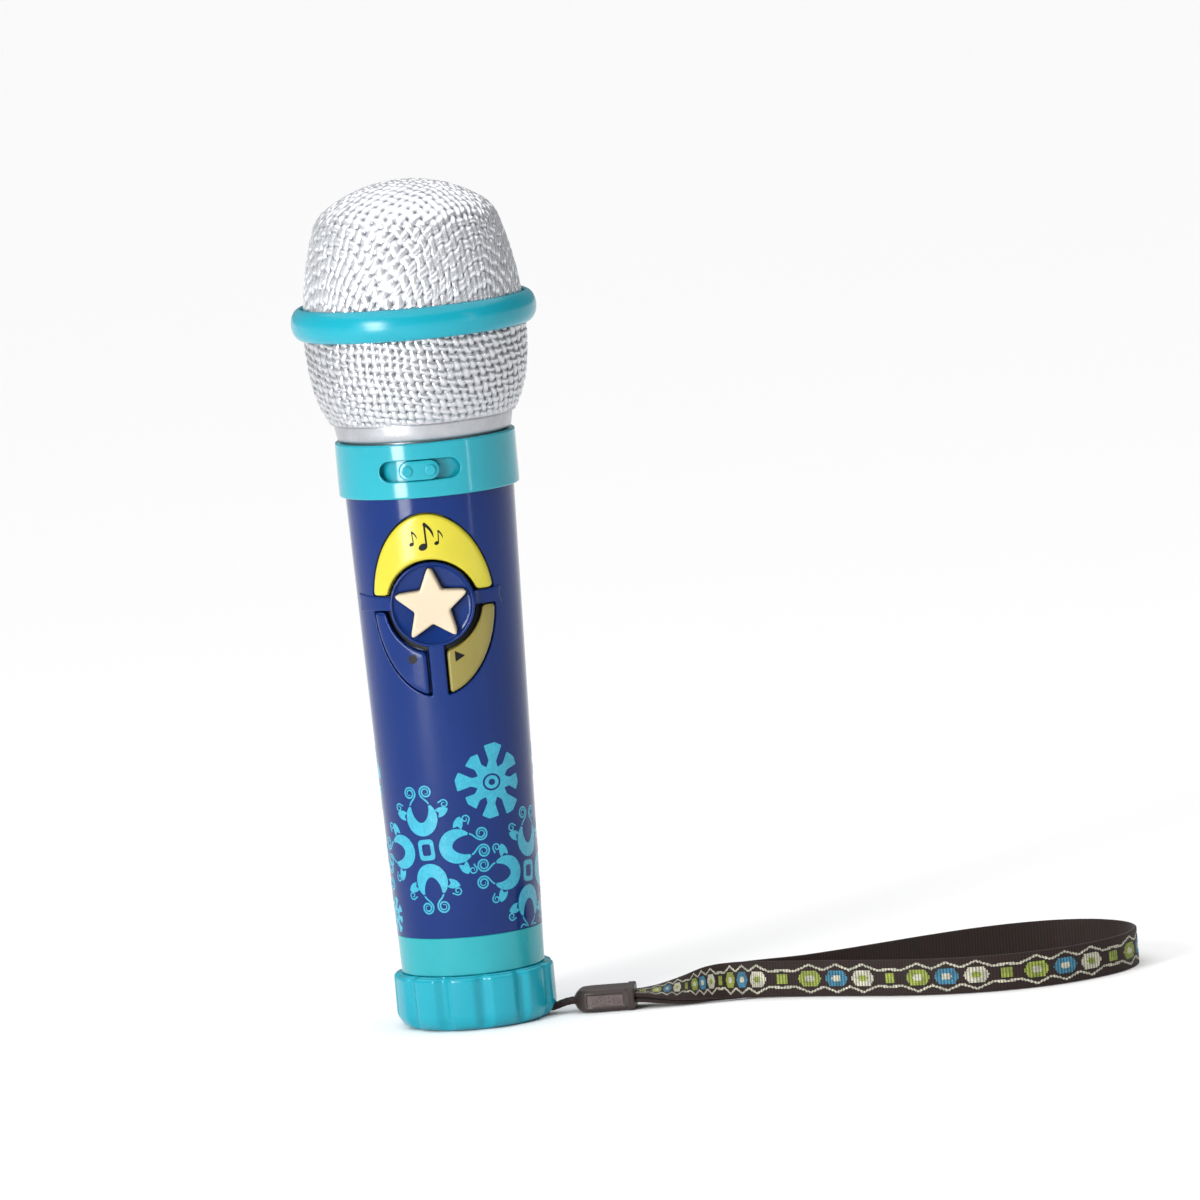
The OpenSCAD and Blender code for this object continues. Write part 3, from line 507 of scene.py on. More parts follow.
def make_piece(name, part, body, slot, node=None, finish=None, angle=38, picks=None, normals=None,
               relief=None):
    """A smooth mesh object on a body, in its slot's finish unless another is given, that replaces a CAD node.
    picks is each face's number in a list of finishes, and normals the exact normals of the first points."""
    points, faces = part
    exact = np.zeros((len(points), 3))
    if normals is not None:
        exact[:len(normals)] = normals
    points, faces, exact, origin, first = weld(points, faces, exact)
    mesh = bpy.data.meshes.new(name)
    mesh.from_pydata((points * MM).tolist(), [], faces)
    finish = finish or finish_of[slot]
    for material in (finish if isinstance(finish, list) else [finish]):
        mesh.materials.append(material)
    if picks is not None:
        mesh.polygons.foreach_set("material_index", np.asarray(picks, np.int32)[origin])
    if relief is not None:
        heights = mesh.attributes.new("relief", "FLOAT", "POINT")
        heights.data.foreach_set("value", relief[first].astype(np.float32))
    mesh.shade_smooth()
    mesh.set_sharp_from_angle(angle=math.radians(angle))
    if normals is not None:
        use_exact_normals(mesh, exact)
    piece = bpy.data.objects.new(name, mesh)
    bpy.context.scene.collection.objects.link(piece)
    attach(piece, body)
    if node:
        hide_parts(node)
    return piece


def use_exact_normals(mesh, normals):
    """Shades a plain surface by its own normals, so that its triangles' edges don't show in the gloss."""
    corners = np.zeros(len(mesh.loops) * 3, np.float32)
    mesh.corner_normals.foreach_get("vector", corners)
    corners = corners.reshape(-1, 3)
    ends = np.zeros(len(mesh.loops), np.int32)
    mesh.loops.foreach_get("vertex_index", ends)
    exact = normals[ends]
    near = (exact * corners).sum(1) > math.cos(math.radians(30))
    corners[near] = exact[near]
    mesh.normals_split_custom_set(corners.tolist())


def grid_faces(rows, columns, closed=True):
    """Four-sided faces of a grid kept row by row: each row runs anticlockwise, and they go up its outside."""
    r, c = np.meshgrid(np.arange(rows - 1), np.arange(columns if closed else columns - 1), indexing="ij")
    here = r * columns + c
    beside = r * columns + (c + 1) % columns
    return np.stack([here, beside, beside + columns, here + columns], -1).reshape(-1, 4).tolist()


def strips(rows, closed=True):
    """The part between rows of equal length, each a line of 3-D points, or a ring where closed."""
    return np.concatenate(rows), grid_faces(len(rows), len(rows[0]), closed)


def flipped(faces):
    return [face[::-1] for face in faces]


def tube(rows):
    """The part inside a row of rings, closed at both ends."""
    points, faces = strips(rows)
    count = len(rows[0])
    last = (len(rows) - 1) * count
    return points, faces + [list(range(count))[::-1], [last + k for k in range(count)]]


def swept_loop(rows):
    """The part inside a loop of open lines, closed at both of their ends."""
    points, faces = strips(list(rows) + [rows[0]], False)
    count = len(rows[0])
    starts = [k * count for k in range(len(rows))]
    return points, faces + [starts, [k + count - 1 for k in starts][::-1]]


def turned(profile, columns, radius_change=None):
    """A profile of (radius, height) turned round Z."""
    profile = np.asarray(profile, float)
    angle = np.linspace(0, 2 * math.pi, columns, endpoint=False)
    radius = np.repeat(profile[:, :1], columns, axis=1)
    height = np.repeat(profile[:, 1:], columns, axis=1)
    if radius_change is not None:
        radius = radius + radius_change(angle[None, :], radius)
    points = np.stack([radius * np.cos(angle), radius * np.sin(angle), height], -1)
    return points.reshape(-1, 3), grid_faces(len(profile), columns)


def moved(part, x=0.0, y=0.0, z=0.0):
    points, faces = part
    return points + np.array([x, y, z]), faces


def merge(*parts):
    points, faces, count = [], [], 0
    for more, polygons in parts:
        points.append(np.asarray(more))
        faces += [[k + count for k in face] for face in polygons]
        count += len(more)
    return np.concatenate(points), faces


# ---- Flat lines and outlines ----

def arc_points(centre, radius, start, end, steps):
    """Points on an arc between two angles in degrees."""
    angle = np.radians(np.linspace(start, end, steps + 1))
    return np.stack([centre[0] + radius * np.cos(angle), centre[1] + radius * np.sin(angle)], -1)


def circle_points(radius, start, end, steps=60):
    """Points round the origin between two angles in radians; radius is one number, or one each for x and z."""
    angle = np.linspace(start, end, steps)
    return np.asarray(radius) * np.stack([np.cos(angle), np.sin(angle)], -1)


def circle(radius, count):
    return circle_points(radius, 0, 2 * math.pi, count + 1)[:-1]


def distances_along(line):
    return np.concatenate([[0], np.cumsum(np.linalg.norm(np.diff(line, axis=0), axis=1))])


def even_points(line, count, both_ends=True):
    """A number of points at even distances along an open line, with or without its end."""
    along = distances_along(line)
    want = np.linspace(0, along[-1], count, endpoint=both_ends)
    return np.stack([np.interp(want, along, line[:, k]) for k in range(line.shape[1])], -1)


def resample(line, spacing):
    """An open line's points at nearly even spacing, both ends kept."""
    line = np.asarray(line, float)
    return even_points(line, max(2, int(round(distances_along(line)[-1] / spacing)) + 1))


def even_outline(outline, spacing):
    return resample(np.vstack([outline, outline[:1]]), spacing)[:-1]


def signed_area(outline):
    x, y = outline[:, 0], outline[:, 1]
    return 0.5 * np.sum(x * np.roll(y, -1) - np.roll(x, -1) * y)


def anticlockwise(outline):
    return outline if signed_area(outline) > 0 else outline[::-1]


def grown(outline, amount):
    """An anticlockwise outline moved out by an amount along its normals, and less in corners too tight."""
    tangent = unit(np.roll(outline, -1, 0) - np.roll(outline, 1, 0))
    ahead, behind = np.roll(outline, -2, 0) - outline, outline - np.roll(outline, 2, 0)
    bend = np.arctan2(behind[:, 0] * ahead[:, 1] - behind[:, 1] * ahead[:, 0], (behind * ahead).sum(1))
    span = 0.5 * (np.linalg.norm(ahead, axis=1) + np.linalg.norm(behind, axis=1))
    tight = np.clip(-math.copysign(1.0, amount) * bend, 1e-6, None) if amount else np.full(len(outline), 1e-6)
    room = 0.8 * span / tight
    room = np.min([np.roll(room, k) for k in range(-2, 3)], axis=0)
    room = np.mean([np.minimum(np.roll(room, k), abs(amount)) for k in range(-3, 4)], axis=0)
    move = math.copysign(1.0, amount) * np.minimum(room, abs(amount))
    return outline + move[:, None] * np.stack([tangent[:, 1], -tangent[:, 0]], -1)


def joined(pieces, reach, spacing=0.35):
    """A closed outline of open lines that meet in corners; each corner is cut back by its reach and rounded."""
    reaches = [reach] * len(pieces) if np.isscalar(reach) else list(reach)
    cut = []
    for k, piece in enumerate(pieces):
        line = resample(piece, spacing / 4)
        along = distances_along(line)
        cut.append(line[(along >= reaches[k - 1]) & (along <= along[-1] - reaches[k])])
    outline = []
    share = np.linspace(0, 1, 12)[1:-1, None]
    for k, line in enumerate(cut):
        ahead = cut[(k + 1) % len(cut)][0]
        corner = np.asarray(pieces[k][-1])
        outline.append(line)
        outline.append((1 - share) ** 2 * line[-1] + 2 * share * (1 - share) * corner + share ** 2 * ahead)
    return anticlockwise(even_outline(np.vstack(outline), spacing))


def bridged(lines):
    """Open lines, with a straight side from the end of each to the start of the next."""
    every = []
    for k, line in enumerate(lines):
        every += [line, np.array([line[-1], lines[(k + 1) % len(lines)][0]])]
    return every


def polygon(corners, reach, spacing):
    """A closed outline through corners, rounded as joined() rounds them."""
    corners = [np.asarray(corner) for corner in corners]
    return joined([np.array(side) for side in zip(corners, corners[1:] + corners[:1])], reach, spacing)


def rectangle(x0, z0, x1, z1):
    return [(x0, z0), (x1, z0), (x1, z1), (x0, z1)]


def stadium(half, radius):
    right = circle_points(radius, -math.pi / 2, math.pi / 2, 17) + np.array([half - radius, 0])
    left = circle_points(radius, math.pi / 2, 3 * math.pi / 2, 17) - np.array([half - radius, 0])
    return even_outline(np.vstack([right, left]), 0.3)


def turned_flat(outline, degrees):
    c, s = math.cos(math.radians(degrees)), math.sin(math.radians(degrees))
    return outline @ np.array([[c, s], [-s, c]])


def within(points, outline):
    """True for each point inside the closed outline."""
    x, y = points[:, 0][:, None], points[:, 1][:, None]
    x0, y0 = outline[:, 0][None, :], outline[:, 1][None, :]
    x1, y1 = np.roll(outline[:, 0], -1)[None, :], np.roll(outline[:, 1], -1)[None, :]
    crosses = (y0 > y) != (y1 > y)
    rise = np.where(y1 == y0, 1e-12, y1 - y0)
    return (np.sum(crosses & (x < x0 + (y - y0) * (x1 - x0) / rise), axis=1) % 2) == 1


def distance_to(points, outline, batch=4000):
    """Each point's distance to the nearest side of the closed outline."""
    side = np.roll(outline, -1, 0) - outline
    length = np.maximum((side ** 2).sum(1), 1e-12)
    best = [np.zeros(0)]
    for start in range(0, len(points), batch):
        p = points[start:start + batch, None, :]
        t = np.clip(((p - outline) * side).sum(-1) / length, 0, 1)
        best.append(np.linalg.norm(p - (outline + t[..., None] * side), axis=-1).min(1))
    return np.concatenate(best)


def grid_points(low, high, step):
    across, up = (np.arange(low[k], high[k], step[k]) for k in (0, 1))
    x, y = np.meshgrid(across, up, indexing="ij")
    return np.stack([x.ravel(), y.ravel()], -1)


def fill(outer, holes, spacing, clear=0.4, extra=None):
    """Triangles over a flat outline less its holes: (points, faces). The outlines' own points come first, in
    order. Points of a grid, and extra ones, lie inside where they are clear of the outlines by a share of
    the spacing."""
    rings = [outer] + list(holes)
    sides, count = [], 0
    for ring in rings:
        sides += [(count + k, count + (k + 1) % len(ring)) for k in range(len(ring))]
        count += len(ring)
    step = np.asarray(spacing) * np.ones(2)
    inner = grid_points(outer.min(0) + step / 2, outer.max(0), step)
    if extra is not None:
        inner = np.vstack([inner, extra])

    def inside(points):
        kept = within(points, outer)
        for ring in holes:
            kept &= ~within(points, ring)
        return kept

    inner = inner[inside(inner)]
    for ring in rings:
        inner = inner[distance_to(inner, ring) > clear * step.min()]
    every = np.vstack(rings + [inner])
    found = delaunay_2d_cdt([Vector(p) for p in every], sides, [], 0, 1e-7, False)
    flat = every if len(found[0]) == len(every) else np.array([tuple(v) for v in found[0]])
    faces = np.array(found[2])
    return flat, faces[settle_slivers(flat, faces, inside(flat[faces].mean(1)))].tolist()


def settle_slivers(flat, faces, keep):
    """Keeps a sliver between the points of a straight side only where the triangle on its long side is kept."""
    corner = flat[faces]
    side = np.roll(corner, -1, 1) - corner
    length = np.linalg.norm(side, axis=2)
    area = np.abs(side[:, 0, 0] * side[:, 1, 1] - side[:, 0, 1] * side[:, 1, 0])
    thin = np.flatnonzero(area < 1e-3 * length.max(1) ** 2)
    beside = {}
    for k, face in enumerate(faces.tolist()):
        for j in range(3):
            beside.setdefault(frozenset((face[j], face[(j + 1) % 3])), []).append(k)
    for _ in range(12):
        for k in thin:
            j = length[k].argmax()
            sharing = beside[frozenset((int(faces[k][j]), int(faces[k][(j + 1) % 3])))]
            keep[k] = any(keep[m] for m in sharing if m != k)
    return keep


# ---- Surfaces of the handle, as y over outlines in (x, z) ----

def handle_r(z):
    return LOW_R + (TOP_R - LOW_R) * (z - BODY_Z0) / (BODY_Z1 - BODY_Z0)


def on_taper(flat, rise):
    """Points on the handle's front at (x, z) from the panel's middle, moved out by rise."""
    z = flat[:, 1] + PANEL_Z
    return np.stack([flat[:, 0], -np.sqrt((handle_r(z) + rise) ** 2 - flat[:, 0] ** 2), z], -1)


def taper_front(rise):
    return lambda flat: on_taper(flat, rise)[:, 1]


def barrel(radius):
    return lambda flat: -np.sqrt(radius ** 2 - flat[:, 0] ** 2)


def level(y):
    return lambda flat: np.full(len(flat), y)


def at_depth(flat, depth):
    """Points (x, z) as 3-D points, at the y that depth gives."""
    return np.stack([flat[:, 0], depth(flat), flat[:, 1]], -1)


def pillow(outline, surface, edge, depth, spacing, steps=5):
    """A closed pad with rounded edges: surface is its front, and its walls go back to depth."""
    outline = anticlockwise(outline)
    rows = [at_depth(outline, depth)]
    for bend in 0.5 * math.pi * np.arange(steps + 1) / steps:
        line = grown(outline, -edge * (1 - math.cos(bend)))
        row = at_depth(line, surface)
        row[:, 1] += edge * (1 - math.sin(bend))
        rows.append(row)
    flat, face = fill(line, [], spacing)
    flat_back, back = fill(outline, [], spacing * 2)
    return merge(strips(rows), (at_depth(flat, surface), face), (at_depth(flat_back, depth), flipped(back)))


def rolled_lip(outline, lip, steps, place, inward=1):
    """Rows of an opening's rounded lip. place puts an outline on the skin, and y leaves the skin inward."""
    rows = []
    for bend in 0.5 * math.pi * np.arange(steps + 1) / steps:
        row = place(grown(outline, lip * (1 - math.sin(bend))))
        row[:, 1] += inward * lip * (1 - math.cos(bend))
        rows.append(row)
    return rows


def rod_y(x, z, radius, y_front, y_back, columns=32, hole=0.0):
    """A closed round rod or tube along Y with softened ends."""
    soft = 0.15
    profile = [
        (hole, y_back), (radius - soft, y_back), (radius, y_back - soft),
        (radius, y_front + soft), (radius - soft, y_front), (hole, y_front),
    ]
    if hole:
        profile.append(profile[0])
    points, faces = turned([(r, -y) for r, y in profile], columns)
    return np.stack([points[:, 0] + x, -points[:, 2], points[:, 1] + z], -1), faces


# ---- Outlines on the front panel, in (x, z) from the panel's middle ----

def oval_points(start, end, grow=0.0, steps=60):
    return circle_points((OVAL_X + grow, OVAL_Z + grow), start, end, steps)


def upper_button_outline(grow=0.0):
    low = UPPER_LOW - grow
    inner = UPPER_IN_R - grow
    a = math.asin(low / (OVAL_Z + grow))
    b = math.asin(low / inner)
    return joined(bridged([oval_points(a, math.pi - a, grow), circle_points(inner, math.pi - b, b)]), CORNER)


def lower_button_outline(side, grow=0.0):
    """The lower right button for side 1 and the lower left one for side -1."""
    high = LOWER_HIGH + grow
    near = LOWER_NEAR + BRIDGE_TRENCH - grow
    inner = LOWER_IN_R - grow
    outer_line = oval_points(math.asin(high / (OVAL_Z + grow)), -math.acos(near / (OVAL_X + grow)), grow)
    inner_line = circle_points(inner, -math.acos(near / inner), math.asin(high / inner))
    outline = joined(bridged([outer_line, inner_line]), CORNER)
    return anticlockwise(outline * np.array([side, 1.0]))


def star_outline(grow=0.0):
    corners = []
    for k in range(10):
        radius = STAR_IN_R + grow if k % 2 else STAR_OUT_R + 1.6 * grow
        angle = math.radians(90 + 36 * k)
        corners.append([radius * math.cos(angle), radius * math.sin(angle)])
    return polygon(corners, [0.5, 2.3] * 5, 0.3)


def held_in(outline, radius):
    """An outline with its points beyond a radius drawn in to it."""
    reach = np.linalg.norm(outline, axis=1, keepdims=True)
    return even_outline(outline * np.minimum(1, radius / reach), 0.3)


def well_outline():
    """The opening round the disc and all four buttons; three bridges run in under the disc's lip."""
    grow = BUTTON_GAP
    inner = DISC_R - 0.5
    upper, lower, near = UPPER_LOW - grow, LOWER_HIGH + grow, LOWER_NEAR - grow
    a = math.asin(upper / (OVAL_Z + grow))
    up, down, low = math.asin(upper / inner), math.asin(lower / inner), -math.acos(near / inner)
    right_low = oval_points(-math.acos(near / (OVAL_X + grow)), math.asin(lower / (OVAL_Z + grow)), grow)
    return joined(bridged([
        oval_points(a, math.pi - a, grow, 90),
        circle_points(inner, math.pi - up, math.pi - down, 14),
        right_low[::-1] * np.array([-1.0, 1.0]),
        circle_points(inner, -math.pi - low, low, 14),
        right_low,
        circle_points(inner, down, up, 14),
    ]), [0.6, 0.45, 0.45, 0.6] * 3)


# ---- Handle shells ----

def to_sheet(outline):
    """(x, z) on the taper to (way round, z)."""
    x, z = outline[:, 0], outline[:, 1]
    return np.stack([SHEET_R * np.arcsin(x / handle_r(z)), z], -1)


def from_sheet(flat, rise, front, sheet_r=SHEET_R):
    """(way round, z) on a sheet of a radius to the taper's front or back half, at a rise over it."""
    angle, z = flat[:, 0] / sheet_r, flat[:, 1]
    radius = handle_r(z) + rise
    return np.stack([radius * np.sin(angle), (-1 if front else 1) * radius * np.cos(angle), z], -1)


def half_shell(holes, front):
    """One half of the handle, with its outer skin first, and that skin's normals. Each hole is an outline in
    x and z and the radius of its lip."""
    soft = 0.14
    quarter = SHEET_R * math.pi / 2
    wide = quarter - soft
    corners = rectangle(-wide, BODY_Z0, wide, BODY_Z1)
    sides = zip(corners, corners[1:] + corners[:1])
    rim = np.vstack([resample(side, gap)[:-1] for side, gap in zip(sides, (1.3, 3.0, 1.3, 3.0))])
    near = grid_points((-24, PANEL_Z - 32), (24, PANEL_Z + 31), (1.1, 1.1)) if front else None
    flat, face = fill(rim, [to_sheet(grown(outline, lip)) for outline, lip in holes], (1.6, 3.5), 0.3, near)
    flat_in, face_in = fill(rim, [to_sheet(outline) for outline, lip in holes], (2.4, 6.0), 0.3)
    skin = from_sheet(flat, 0.0, front)
    bulge = rim.copy()
    bulge[:, 0] = np.where(np.abs(rim[:, 0]) > wide - 1e-6, np.sign(rim[:, 0]) * quarter, rim[:, 0])
    edge, edge_faces = strips([
        from_sheet(rim, 0.0, front),
        from_sheet(bulge, -soft, front),
        from_sheet(bulge, -SHELL_WALL + soft, front),
        from_sheet(rim, -SHELL_WALL, front),
    ])
    inner = (from_sheet(flat_in, -SHELL_WALL, front), flipped(face_in))
    parts = [(skin, face), inner, (edge, flipped(edge_faces))]
    for outline, lip in holes:
        rows = rolled_lip(outline, lip, 5, lambda line: from_sheet(to_sheet(line), 0.0, front),
                          1 if front else -1)
        parts.append(strips(rows + [from_sheet(to_sheet(outline), -SHELL_WALL, front)]))
    points, faces = merge(*parts)
    slope = (TOP_R - LOW_R) / (BODY_Z1 - BODY_Z0)
    normals = unit(unit(skin * np.array([1, 1, 0])) - slope * UP)
    return (points, faces if front else flipped(faces)), normals


def half_tube(front):
    """The half of the shells' spigot on one side of the parting plane, up inside the collar."""
    angle = np.linspace(0, math.pi, 49) + (math.pi if front else 0)
    z0, r_out, r_in = BODY_Z1 - 1, TOP_R - 1, TOP_R - SHELL_WALL
    loop = [(r_out, z0), (r_out, SPIGOT_TOP), (r_in, SPIGOT_TOP), (r_in, z0)]
    return swept_loop([np.stack([r * np.cos(angle), r * np.sin(angle), np.full(49, z)], -1) for r, z in loop])


def under_skin(x, z, radius):
    """How far from the parting plane a boss of a radius at x, z may reach and stay under the shell's skin."""
    return math.sqrt((handle_r(z) - 0.4) ** 2 - (abs(x) + radius) ** 2)


def make_front_shell():
    shell, normals = half_shell([(well_outline() + np.array([0.0, PANEL_Z]), 0.45)], True)
    islands = [moved(dish(), z=PANEL_Z)]
    for side in (-1, 1):
        islands.append(moved(bridge_end(side), z=PANEL_Z))
        for x, z in SHELL_BOSSES:
            islands.append(rod_y(side * x, z, 3.0, -under_skin(x, z, 3.0), -0.05, 32, 1.1))
        islands.append(rod_y(side * 9, 149.9, 1.4, -19, -10.4, 24))
    for x, z in BOARD_HOLES:
        islands.append(rod_y(x, z, 2.1, -under_skin(x, z, 2.1), -9, 32, 0.8))
    part = merge(shell, *islands, half_tube(True))
    make_piece("body_front_shell", part, "handle", "blue_plastic", "body_front", normals=normals)


def make_rear_shell():
    places = [(side * x, z) for side in (-1, 1) for x, z in SHELL_BOSSES]
    holes = [(circle(SCREW_WELL_R, 48) + np.array(place), 0.3) for place in places]
    shell, normals = half_shell(holes, False)
    part = merge(shell, half_tube(False), *[screw_boss(x, z) for x, z in places])
    make_piece("body_rear_shell", part, "handle", "blue_plastic", "body_rear", normals=normals)


def screw_boss(x, z):
    """A post with a deep seat for a screw's head, closed all round."""
    shank, outer, seat, front = 1.45, 3.8, 8.0, 0.05
    back = math.sqrt((handle_r(z) - 0.9) ** 2 - (abs(x) + outer) ** 2)
    loop = [(shank, front), (outer, front), (outer, back), (SCREW_WELL_R, back), (SCREW_WELL_R, seat),
            (shank, seat), (shank, front)]
    points, faces = turned(loop, 40)
    return np.stack([points[:, 0] + x, points[:, 2], points[:, 1] + z], -1), flipped(faces)


def dish():
    """The round plate of the panel: a lip, a shallow hollow and the star's well."""
    back, soft, lip = -17.6, 0.45, 0.35
    face_r, face_y = DISC_R - 1.05, DISC_Y + 0.02
    star = held_in(star_outline(BUTTON_GAP), STAR_WELL_R)
    ring = circle(1.0, 144)
    profile = [(DISC_R, back), (DISC_R, LIP_Y + 0.5)]
    profile += [(DISC_R - soft * (1 - math.cos(t)), LIP_Y + soft * (1 - math.sin(t)))
                for t in np.linspace(0.2, math.pi / 2, 5)]
    profile += [(DISC_R - 0.62, LIP_Y + 0.03), (DISC_R - 0.78, LIP_Y + 0.2), (DISC_R - 0.9, DISC_Y - 0.12)]
    profile += [(face_r, face_y)]

    def hollow(flat):
        return face_y + DISH_DEPTH * (1 - (flat ** 2).sum(1) / face_r ** 2)

    flat, face = fill(ring * face_r, [grown(star, lip)], 0.8)
    flat_back, back_face = fill(ring * DISC_R, [star], 1.6)
    well = rolled_lip(star, lip, 4, lambda line: at_depth(line, hollow)) + [at_depth(star, level(back))]
    return merge(
        strips([at_depth(ring * radius, level(y)) for radius, y in profile]),
        (at_depth(flat, hollow), face),
        strips(well),
        (at_depth(flat_back, level(back)), flipped(back_face)),
    )


def bridge_end(side):
    """Raised level bridge between the upper and lower buttons, flaring past the oval at its end."""
    root, neck, tip = DISC_R - 0.45, OVAL_X + 0.2, BRIDGE_TIPS[side]
    middle, half_root, half_tip = (UPPER_LOW + LOWER_HIGH) / 2, 1.9, 2.6
    corners = [(root, -half_root), (neck, -half_root), (tip, -half_tip), (tip - 0.6, 0),
               (tip, half_tip), (neck, half_root), (root, half_root)]
    outline = polygon([(x * side, middle + z) for x, z in corners], [0.4, 0.8, 0.4, 0.8, 0.4, 0.4, 0.4], 0.3)
    return pillow(outline, taper_front(0.38), 0.35, taper_front(-0.6), 0.8)


def make_trench_shade_liner():
    """Black piece in the wide gap between the disc and the two lower buttons, shaped as a keypad mat's lip:
    painted shade that keeps the deep gap dark.
    """
    inner_r, outer_r = DISC_R + 0.1, LOWER_IN_R - 0.35
    start, end = -math.acos((LOWER_NEAR - 0.2) / outer_r), math.asin((LOWER_HIGH + 0.2) / inner_r)
    lines = [circle_points(outer_r, start, end), circle_points(inner_r, end, start)]
    outline = joined(bridged(lines), 0.25, 0.25)
    lips = [pillow(outline * np.array([side, 1.0]), taper_front(-1.5), 0.15, taper_front(-2.4), 0.5)
            for side in (-1, 1)]
    make_piece("trench_gasket", moved(merge(*lips), z=PANEL_Z), "handle", "black_rubber")


# ---- Buttons ----

def make_arc_button(node, outline_at, post, slot):
    """A pillowed cap that follows the taper, with its flange and post behind. outline_at gives its outline,
    grown by an amount."""
    back = -SHELL_WALL
    cap = pillow(outline_at(0.0), taper_front(BUTTON_RISE), PILLOW_EDGE, taper_front(back - 1.2), 0.9, steps=7)
    rim = pillow(outline_at(0.3), taper_front(back - 0.35), 0.1, taper_front(back - 1.3), 1.6, steps=2)
    stem = rod_y(post[0], post[1] - PANEL_Z, BUTTON_POST_R, BUTTON_POST_Y, POST_END_Y, 24)
    make_piece(node + "_cap", moved(merge(cap, rim, stem), z=PANEL_Z), node, slot, node)


def make_buttons():
    make_arc_button("music_button", upper_button_outline, (0, 135.5), "yellow_plastic")
    make_arc_button("record_button", lambda grow: lower_button_outline(-1, grow), (-8.4, 105), "blue_plastic")
    make_arc_button("play_button", lambda grow: lower_button_outline(1, grow), (8.4, 105), "olive_plastic")
    star = pillow(star_outline(), level(STAR_Y), 0.75, level(STAR_BACK_Y), 0.9, steps=7)
    in_well = held_in(star_outline(), STAR_WELL_R - BUTTON_GAP)
    body = pillow(in_well, level(STAR_BACK_Y - 0.05), 0.05, level(STAR_BODY_Y), 0.9, steps=2)
    base = pillow(circle(STAR_FLANGE_R, 96), level(STAR_FLANGE_Y), 0.2, level(STAR_FLANGE_Y + 1.8), 2.0)
    stem = rod_y(0, 0, BUTTON_POST_R, STAR_BODY_Y, POST_END_Y, 24)
    part = moved(merge(star, body, base, stem), z=PANEL_Z)
    make_piece("star_button_cap", part, "star_button", "cream_plastic", "star_button")


# ---- Collar and switch knob ----

def make_collar():
    slot, lip, edge = stadium(SLOT_HALF, SLOT_H / 2), 0.4, 0.55
    z0, z1, inner_r, seat_r = BODY_Z1, COLLAR_Z1, COLLAR_R - 2.4, 22.6
    angle = np.linspace(-math.pi, math.pi, 145)

    def sheet(outline, radius):
        return np.stack([COLLAR_R * np.arcsin(outline[:, 0] / radius), outline[:, 1] + SLOT_Z], -1)

    def around(flat, radius):
        turn = flat[:, 0] / COLLAR_R
        return np.stack([radius * np.sin(turn), -radius * np.cos(turn), flat[:, 1]], -1)

    def skin(radius, low, high, hole, spacing):
        line = np.stack([angle * COLLAR_R, np.full(len(angle), low)], -1)
        rise = np.linspace(low, high, 7)[1:-1]
        right = np.stack([np.full(len(rise), math.pi * COLLAR_R), rise], -1)
        left = right[::-1] * np.array([-1, 1])
        flat, face = fill(np.vstack([line, right, line[::-1] + (0, high - low), left]), [hole], spacing, 0.3)
        return around(flat, radius), face

    def bands(profile):
        turn = angle[:-1]
        rows = [(r * np.sin(turn), -r * np.cos(turn), np.full(len(turn), z)) for r, z in profile]
        return strips([np.stack(row, -1) for row in rows])

    outer = skin(COLLAR_R, z0 + edge, z1 - edge, sheet(grown(slot, lip), COLLAR_R), 1.3)
    inner, inner_face = skin(inner_r, z0 + 0.3, z1 - 0.6, sheet(slot, inner_r), 2.0)
    top = arc_points((COLLAR_R - edge, z1 - edge), edge, 0, 90, 5).tolist()
    top += [(seat_r + 0.15, z1), (seat_r, z1 - 0.15), (seat_r, z1 - 0.6), (inner_r, z1 - 0.6)]
    low = [(inner_r, z0 + 0.3), (inner_r + 0.3, z0)]
    low += arc_points((COLLAR_R - edge, z0 + edge), edge, -90, 0, 5).tolist()
    wall = rolled_lip(slot, lip, 4, lambda line: around(sheet(line, COLLAR_R), COLLAR_R))
    wall.append(around(sheet(slot, inner_r), inner_r))
    part = merge(outer, (inner, flipped(inner_face)), bands(top), bands(low), strips(wall))
    make_piece("collar_band", part, "handle", "turquoise_plastic", "collar",
               normals=unit(outer[0] * np.array([1, 1, 0])))


def make_knob():
    parts = [pillow(stadium(KNOB_HALF, SLOT_H / 2 - 0.2), barrel(25.25), 0.45, barrel(21.3), 0.7)]
    plate = polygon(rectangle(-PLATE_HALF, -3.6, PLATE_HALF, 3.6), 0.4, 0.6)
    parts.append(pillow(plate, barrel(22.1), 0.1, barrel(20.8), 1.2, steps=2))
    parts.append(rod_y(0, 0, 1.2, -21.5, -14.2, 24))
    for side in (-1, 1):
        pip = circle(1.5, 48) + np.array([side * 3.2, 0])
        parts.append(pillow(pip, level(-25.6), 0.35, level(-23.0), 0.5))
    part = moved(merge(*parts), z=SLOT_Z)
    make_piece("switch_knob_grip", part, "switch_knob", "turquoise_plastic", "switch_knob")


# ---- Cap and tail ring ----

def flute_cut(angle, radius):
    """How far the finger flutes go in at an angle, fading out over the foot."""
    pitch = 2 * math.pi / FLUTES
    off = (angle - math.radians(FLUTE_TURN - 90) + pitch / 2) % pitch - pitch / 2
    across = np.clip(np.abs(off) * CAP_R / (FLUTE_W / 2), 0, 1)
    fade = np.clip((radius - 18.8) / 2.4, 0, 1)
    return -FLUTE_DEPTH * (0.5 + 0.5 * np.cos(math.pi * across)) * fade ** 1.5


